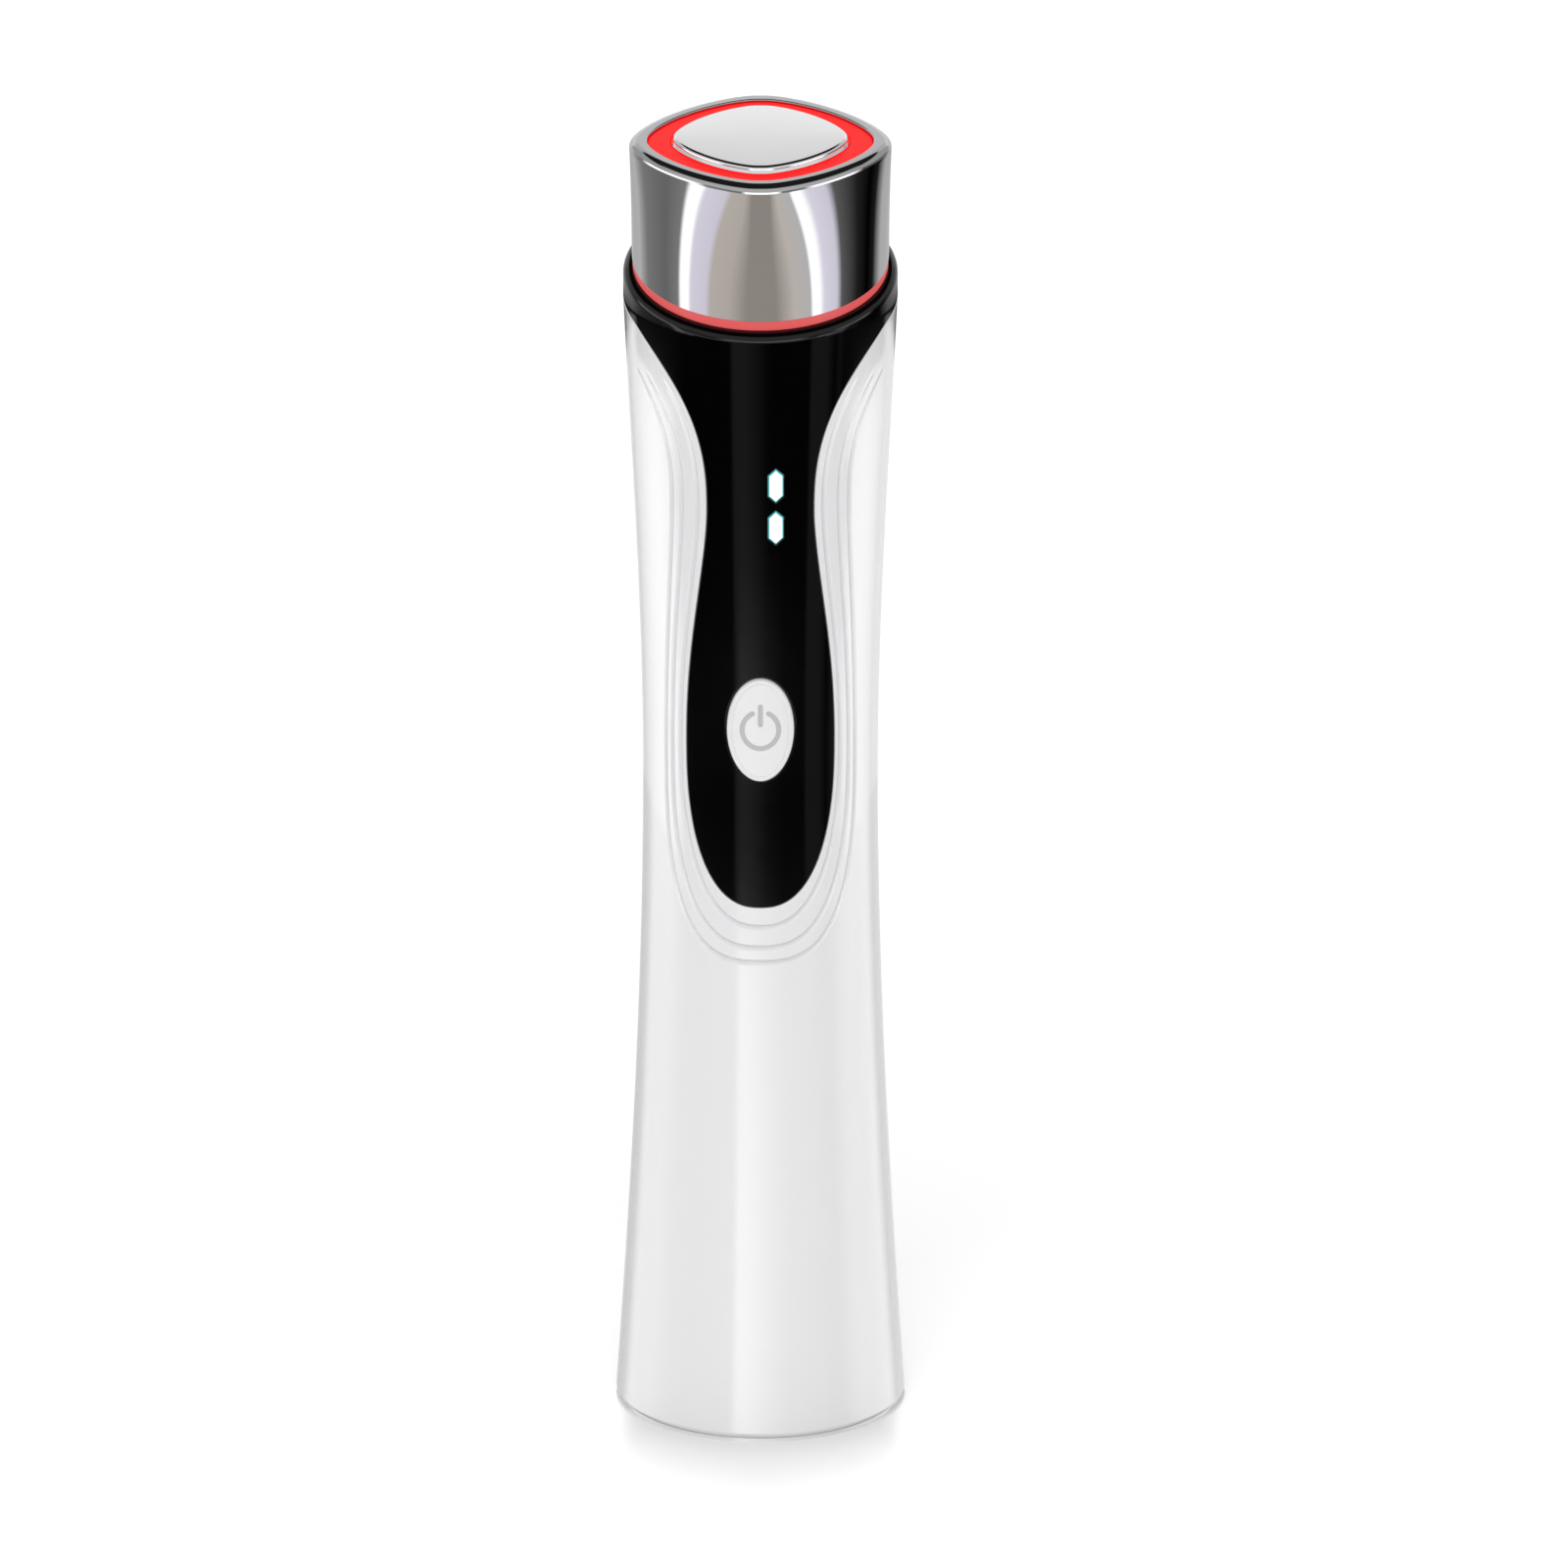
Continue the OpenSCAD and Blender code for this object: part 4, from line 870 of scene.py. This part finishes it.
# Camera: far away with a long lens, raised 20.5 degrees, straight at the front
DISTANCE = 8.0
ELEVATION = math.radians(20.5)
TARGET = (0.0029, 0.0, 0.0804)
cam_data = bpy.data.cameras.new("camera")
cam_data.lens = 1488.0
cam_data.sensor_width = 36.0
cam = bpy.data.objects.new("camera", cam_data)
bpy.context.scene.collection.objects.link(cam)
bpy.context.scene.camera = cam
cam.location = (TARGET[0], -DISTANCE * math.cos(ELEVATION), TARGET[2] + DISTANCE * math.sin(ELEVATION))
cam.rotation_euler = (math.pi / 2 - ELEVATION, 0.0, 0.0)


# Studio: a plain white world, a pale floor, soft lamps and cards that only gloss sees
def node_tree(owner):
    owner.use_nodes = True
    owner.node_tree.nodes.clear()
    return owner.node_tree


def background(tree, level):
    made = tree.nodes.new("ShaderNodeBackground")
    made.inputs["Color"].default_value = (1, 1, 1, 1)
    made.inputs["Strength"].default_value = level
    return made.outputs[0]


# White where the camera sees it, and dimmer as a light
def studio_world(level):
    world = bpy.data.worlds.new("studio")
    bpy.context.scene.world = world
    tree = node_tree(world)
    ray = tree.nodes.new("ShaderNodeLightPath")
    blend = tree.nodes.new("ShaderNodeMixShader")
    out = tree.nodes.new("ShaderNodeOutputWorld")
    tree.links.new(ray.outputs["Is Camera Ray"], blend.inputs[0])
    tree.links.new(background(tree, level), blend.inputs[1])
    tree.links.new(background(tree, 1.0), blend.inputs[2])
    tree.links.new(blend.outputs[0], out.inputs[0])
    world.cycles_visibility.glossy = False


def studio_floor(reach):
    mesh = bpy.data.meshes.new("floor")
    corners = [(-reach, -reach, 0), (reach, -reach, 0), (reach, reach, 0), (-reach, reach, 0)]
    mesh.from_pydata(corners, [], [(0, 1, 2, 3)])
    look = bpy.data.materials.new("floor")
    tree = node_tree(look)
    shader = tree.nodes.new("ShaderNodeBsdfPrincipled")
    shader.inputs["Base Color"].default_value = (0.93, 0.93, 0.93, 1)
    shader.inputs["Roughness"].default_value = 0.9
    shader.inputs["Specular IOR Level"].default_value = 0.0
    out = tree.nodes.new("ShaderNodeOutputMaterial")
    tree.links.new(shader.outputs[0], out.inputs[0])
    mesh.materials.append(look)
    floor = bpy.data.objects.new("floor", mesh)
    bpy.context.scene.collection.objects.link(floor)
    floor.visible_glossy = False


studio_world(level=0.58)
studio_floor(reach=6.0)

# Cards round the object that only gloss sees. Their stops are listed one by one: azimuth in degrees, 0
# towards the camera and + to the right, then level and tint, with one list for each height that
# the foot, the panel, the head and its rim mirror
PLAIN = (1.0, 1.0, 1.0)
WARM = (1.10, 1.0, 0.90)
LILAC = (1.05, 1.0, 1.13)
HEAD_BANDS = [
    (-180, 0.6, PLAIN), (-150, 0.62, PLAIN), (-134, 0.75, PLAIN), (-118, 0.34, PLAIN), (-92, 0.24, PLAIN),
    (-77, 0.36, PLAIN), (-74, 2.2, PLAIN), (-67, 2.2, PLAIN), (-64, 1.2, LILAC), (-49, 1.1, LILAC),
    (-45, 0.8, WARM), (-28, 0.75, WARM), (-12, 0.46, WARM), (14, 0.46, WARM), (30, 0.85, WARM),
    (45, 0.85, PLAIN), (47, 2.2, PLAIN), (54, 2.0, PLAIN), (58, 1.25, LILAC), (71, 1.1, LILAC),
    (76, 0.18, PLAIN), (94, 0.025, PLAIN), (108, 0.0, PLAIN), (118, 0.02, PLAIN), (132, 0.7, PLAIN),
    (150, 0.65, PLAIN), (180, 0.6, PLAIN)]
RIM_BANDS = [
    (-180, 0.9, PLAIN), (-135, 0.8, PLAIN), (-114, 0.3, PLAIN), (-106, 2.2, PLAIN), (-72, 2.2, PLAIN),
    (-64, 0.3, PLAIN), (-34, 0.3, PLAIN), (-26, 2.2, PLAIN), (30, 2.2, PLAIN), (38, 0.3, PLAIN),
    (56, 0.3, PLAIN), (64, 2.2, PLAIN), (90, 2.2, PLAIN), (98, 0.1, PLAIN), (125, 0.3, PLAIN),
    (140, 0.8, PLAIN), (180, 0.9, PLAIN)]
PANEL_BANDS = [
    (-180, 0.9, PLAIN), (-152, 0.65, PLAIN), (-134, 1.1, PLAIN), (-106, 2.3, PLAIN), (-88, 2.2, PLAIN),
    (-76, 0.1, PLAIN), (-72, 0.0, PLAIN), (-26, 0.0, PLAIN), (-23, 0.26, PLAIN), (-14, 0.28, PLAIN),
    (8, 0.0, PLAIN), (42, 0.0, PLAIN), (45, 0.22, PLAIN), (58, 0.20, PLAIN), (66, 0.0, PLAIN),
    (80, 0.3, PLAIN), (92, 2.3, PLAIN), (108, 2.1, PLAIN), (136, 0.95, PLAIN), (180, 0.8, PLAIN)]
FOOT_BANDS = [
    (-180, 0.8, PLAIN), (-150, 0.5, PLAIN), (-138, 0.5, PLAIN), (-124, 1.2, PLAIN), (-96, 1.2, PLAIN),
    (-76, 0.6, PLAIN), (-56, 0.35, PLAIN), (-24, 0.3, PLAIN), (-18, 2.0, PLAIN), (-10, 1.8, PLAIN),
    (6, 1.0, PLAIN), (22, 0.35, PLAIN), (66, 0.25, PLAIN), (84, 1.2, PLAIN), (122, 1.4, PLAIN),
    (136, 0.6, PLAIN), (180, 0.9, PLAIN)]

# The cards stand on a tall drum with a lid, all in metres. Each pair says where one card gives way
# to the next: first by height, then by distance behind the axis
CARD_R = 0.3
CARD_LOW = -0.2
CARD_HIGH = 0.4
CARD_COLS = 128
FOOT_TOP = (-0.0290, -0.0284)
PANEL_TOP = (-0.002, 0.002)
FLARE_TOP = (0.024, 0.028)
HEAD_FRONT = (0.030, 0.034)
HEAD_REAR = (0.036, 0.039)
HEAD_TOP = (0.128, 0.134)
RIM_TOP = (0.205, 0.215)
PLATE_TOP = (0.25, 0.31)
LID_START = (0.36, 0.37)
FLARE_START = (-0.10, -0.08)
HEAD_START = (-0.02, 0.0)
SIDE_START = (-0.01, 0.05)
FLARE_END = (0.18, 0.22)
BACK_START = (0.24, 0.26)

# A slanted dark card for the flare, and a dark hole and a grey hoop in the lid
SLANT_RATIO = 15.0
SLANT_START = (-0.095, -0.065)
LID_HOLE_Y = 0.125
LID_HOLE_R = (0.275, 0.285)
LID_HOOP_R = (0.335, 0.345)

# Levels of the plain cards
FLARE_GREY = 0.03
SIDE_GREYS = (0.75, 0.55)
PLATE_GREYS = (1.0, 0.72)
LID_GREYS = (0.02, 0.6, 0.75)


# The drum, with its foot open
def card_drum():
    turn = [2 * math.pi * i / CARD_COLS for i in range(CARD_COLS)]
    points = [(CARD_R * math.sin(a), -CARD_R * math.cos(a), z) for z in (CARD_LOW, CARD_HIGH) for a in turn]
    follow = [(i + 1) % CARD_COLS for i in range(CARD_COLS)]
    faces = [(i, k, CARD_COLS + k, CARD_COLS + i) for i, k in enumerate(follow)]
    faces.append(tuple(range(CARD_COLS, 2 * CARD_COLS)))
    mesh = bpy.data.meshes.new("cards")
    mesh.from_pydata(points, [], faces)
    made = bpy.data.objects.new("cards", mesh)
    bpy.context.scene.collection.objects.link(made)
    return made


cards = card_drum()
card_look = bpy.data.materials.new("cards")
card_tree = node_tree(card_look)


# A sum of two values, each a number or a socket
def sums(kind, a, b):
    made = card_tree.nodes.new("ShaderNodeMath")
    made.operation = kind
    for k, v in enumerate((a, b)):
        if isinstance(v, (int, float)):
            made.inputs[k].default_value = v
        else:
            card_tree.links.new(v, made.inputs[k])
    return made.outputs[0]


def grey(level):
    made = card_tree.nodes.new("ShaderNodeRGB")
    made.outputs[0].default_value = (level, level, level, 1)
    return made.outputs[0]


# A ring of stops round the drum, where share goes from 0 to 1 round it
def bands(share, stops):
    ramp = card_tree.nodes.new("ShaderNodeValToRGB")
    marks = ramp.color_ramp.elements
    while len(marks) < len(stops):
        marks.new(0.5)
    for mark, (azimuth, level, tint) in zip(marks, stops):
        mark.position = (azimuth + 180) / 360
        mark.color = (*[level * t for t in tint], 1)
    card_tree.links.new(share, ramp.inputs[0])
    return ramp.outputs["Color"]


# Goes from one colour to another where a value passes through a soft step
def passing(value, step, under, over):
    made = card_tree.nodes.new("ShaderNodeMapRange")
    made.inputs["From Min"].default_value = step[0]
    made.inputs["From Max"].default_value = step[1]
    card_tree.links.new(value, made.inputs["Value"])
    mix = card_tree.nodes.new("ShaderNodeMix")
    mix.data_type = "RGBA"
    card_tree.links.new(made.outputs[0], mix.inputs["Factor"])
    card_tree.links.new(under, mix.inputs["A"])
    card_tree.links.new(over, mix.inputs["B"])
    return mix.outputs["Result"]


def card_colour():
    place = card_tree.nodes.new("ShaderNodeTexCoord")
    apart = card_tree.nodes.new("ShaderNodeSeparateXYZ")
    card_tree.links.new(place.outputs["Object"], apart.inputs[0])
    x, y, height = apart.outputs["X"], apart.outputs["Y"], apart.outputs["Z"]
    heading = sums("ARCTAN2", x, sums("MULTIPLY", y, -1.0))
    share = sums("ADD", sums("DIVIDE", heading, 2 * math.pi), 0.5)
    foot, panel, head_card, rim = [bands(share, b) for b in (FOOT_BANDS, PANEL_BANDS, HEAD_BANDS, RIM_BANDS)]
    slant = sums("SUBTRACT", y, sums("MULTIPLY", height, SLANT_RATIO))
    dark = grey(FLARE_GREY)
    flare_side = passing(slant, SLANT_START, dark, panel)
    flare_back = passing(height, FLARE_TOP, panel, dark)
    flare_card = passing(y, FLARE_START, panel, passing(y, FLARE_END, flare_side, flare_back))
    colour = passing(height, FOOT_TOP, foot, panel)
    colour = passing(height, PANEL_TOP, colour, flare_card)
    front_card = passing(height, HEAD_FRONT, colour, head_card)
    rear_card = passing(height, HEAD_REAR, colour, head_card)
    colour = passing(y, HEAD_START, front_card, rear_card)
    colour = passing(height, HEAD_TOP, colour, rim)
    side_card = passing(y, SIDE_START, *map(grey, SIDE_GREYS))
    plate_card = passing(height, PLATE_TOP, *map(grey, PLATE_GREYS))
    colour = passing(height, RIM_TOP, colour, passing(y, BACK_START, side_card, plate_card))
    behind = sums("SUBTRACT", y, LID_HOLE_Y)
    from_hole = sums("POWER", sums("ADD", sums("POWER", x, 2), sums("POWER", behind, 2)), 0.5)
    hole, rest, hoop = map(grey, LID_GREYS)
    lid = passing(from_hole, LID_HOOP_R, passing(from_hole, LID_HOLE_R, hole, rest), hoop)
    return passing(height, LID_START, colour, lid)


card_glow = card_tree.nodes.new("ShaderNodeEmission")
card_tree.links.new(card_colour(), card_glow.inputs["Color"])
card_out = card_tree.nodes.new("ShaderNodeOutputMaterial")
card_tree.links.new(card_glow.outputs[0], card_out.inputs[0])
cards.data.materials.append(card_look)
cards.visible_camera = False
cards.visible_diffuse = False
cards.visible_shadow = False
cards.visible_transmission = False


def lamp(data, place):
    made = bpy.data.objects.new(data.name, data)
    bpy.context.scene.collection.objects.link(made)
    made.location = place
    made.visible_glossy = False
    return made


# A wide soft sun from the front, a little to the left
KEY_LEVEL = 0.36
KEY_AZIMUTH = math.radians(-6)
KEY_HEIGHT = math.radians(42)
key_data = bpy.data.lights.new("key", "SUN")
key_data.angle = math.radians(50)
key_data.energy = KEY_LEVEL * math.pi
key_place = Vector((math.cos(KEY_HEIGHT) * math.sin(KEY_AZIMUTH),
                    -math.cos(KEY_HEIGHT) * math.cos(KEY_AZIMUTH), math.sin(KEY_HEIGHT)))
lamp(key_data, key_place).rotation_euler = key_place.to_track_quat("Z", "Y").to_euler()

# A strip light high over the object and a little behind it, for a short shadow in front
STRIP_LEVEL = 0.34
STRIP_Y = 0.45
STRIP_Z = 6.0
strip_data = bpy.data.lights.new("strip", "AREA")
strip_data.shape = "RECTANGLE"
strip_data.size = 0.08
strip_data.size_y = 0.7
strip_data.energy = STRIP_LEVEL * math.pi * math.pi * STRIP_Z ** 2
lamp(strip_data, (0.0, STRIP_Y, STRIP_Z))

bpy.context.scene.view_settings.view_transform = "Standard"
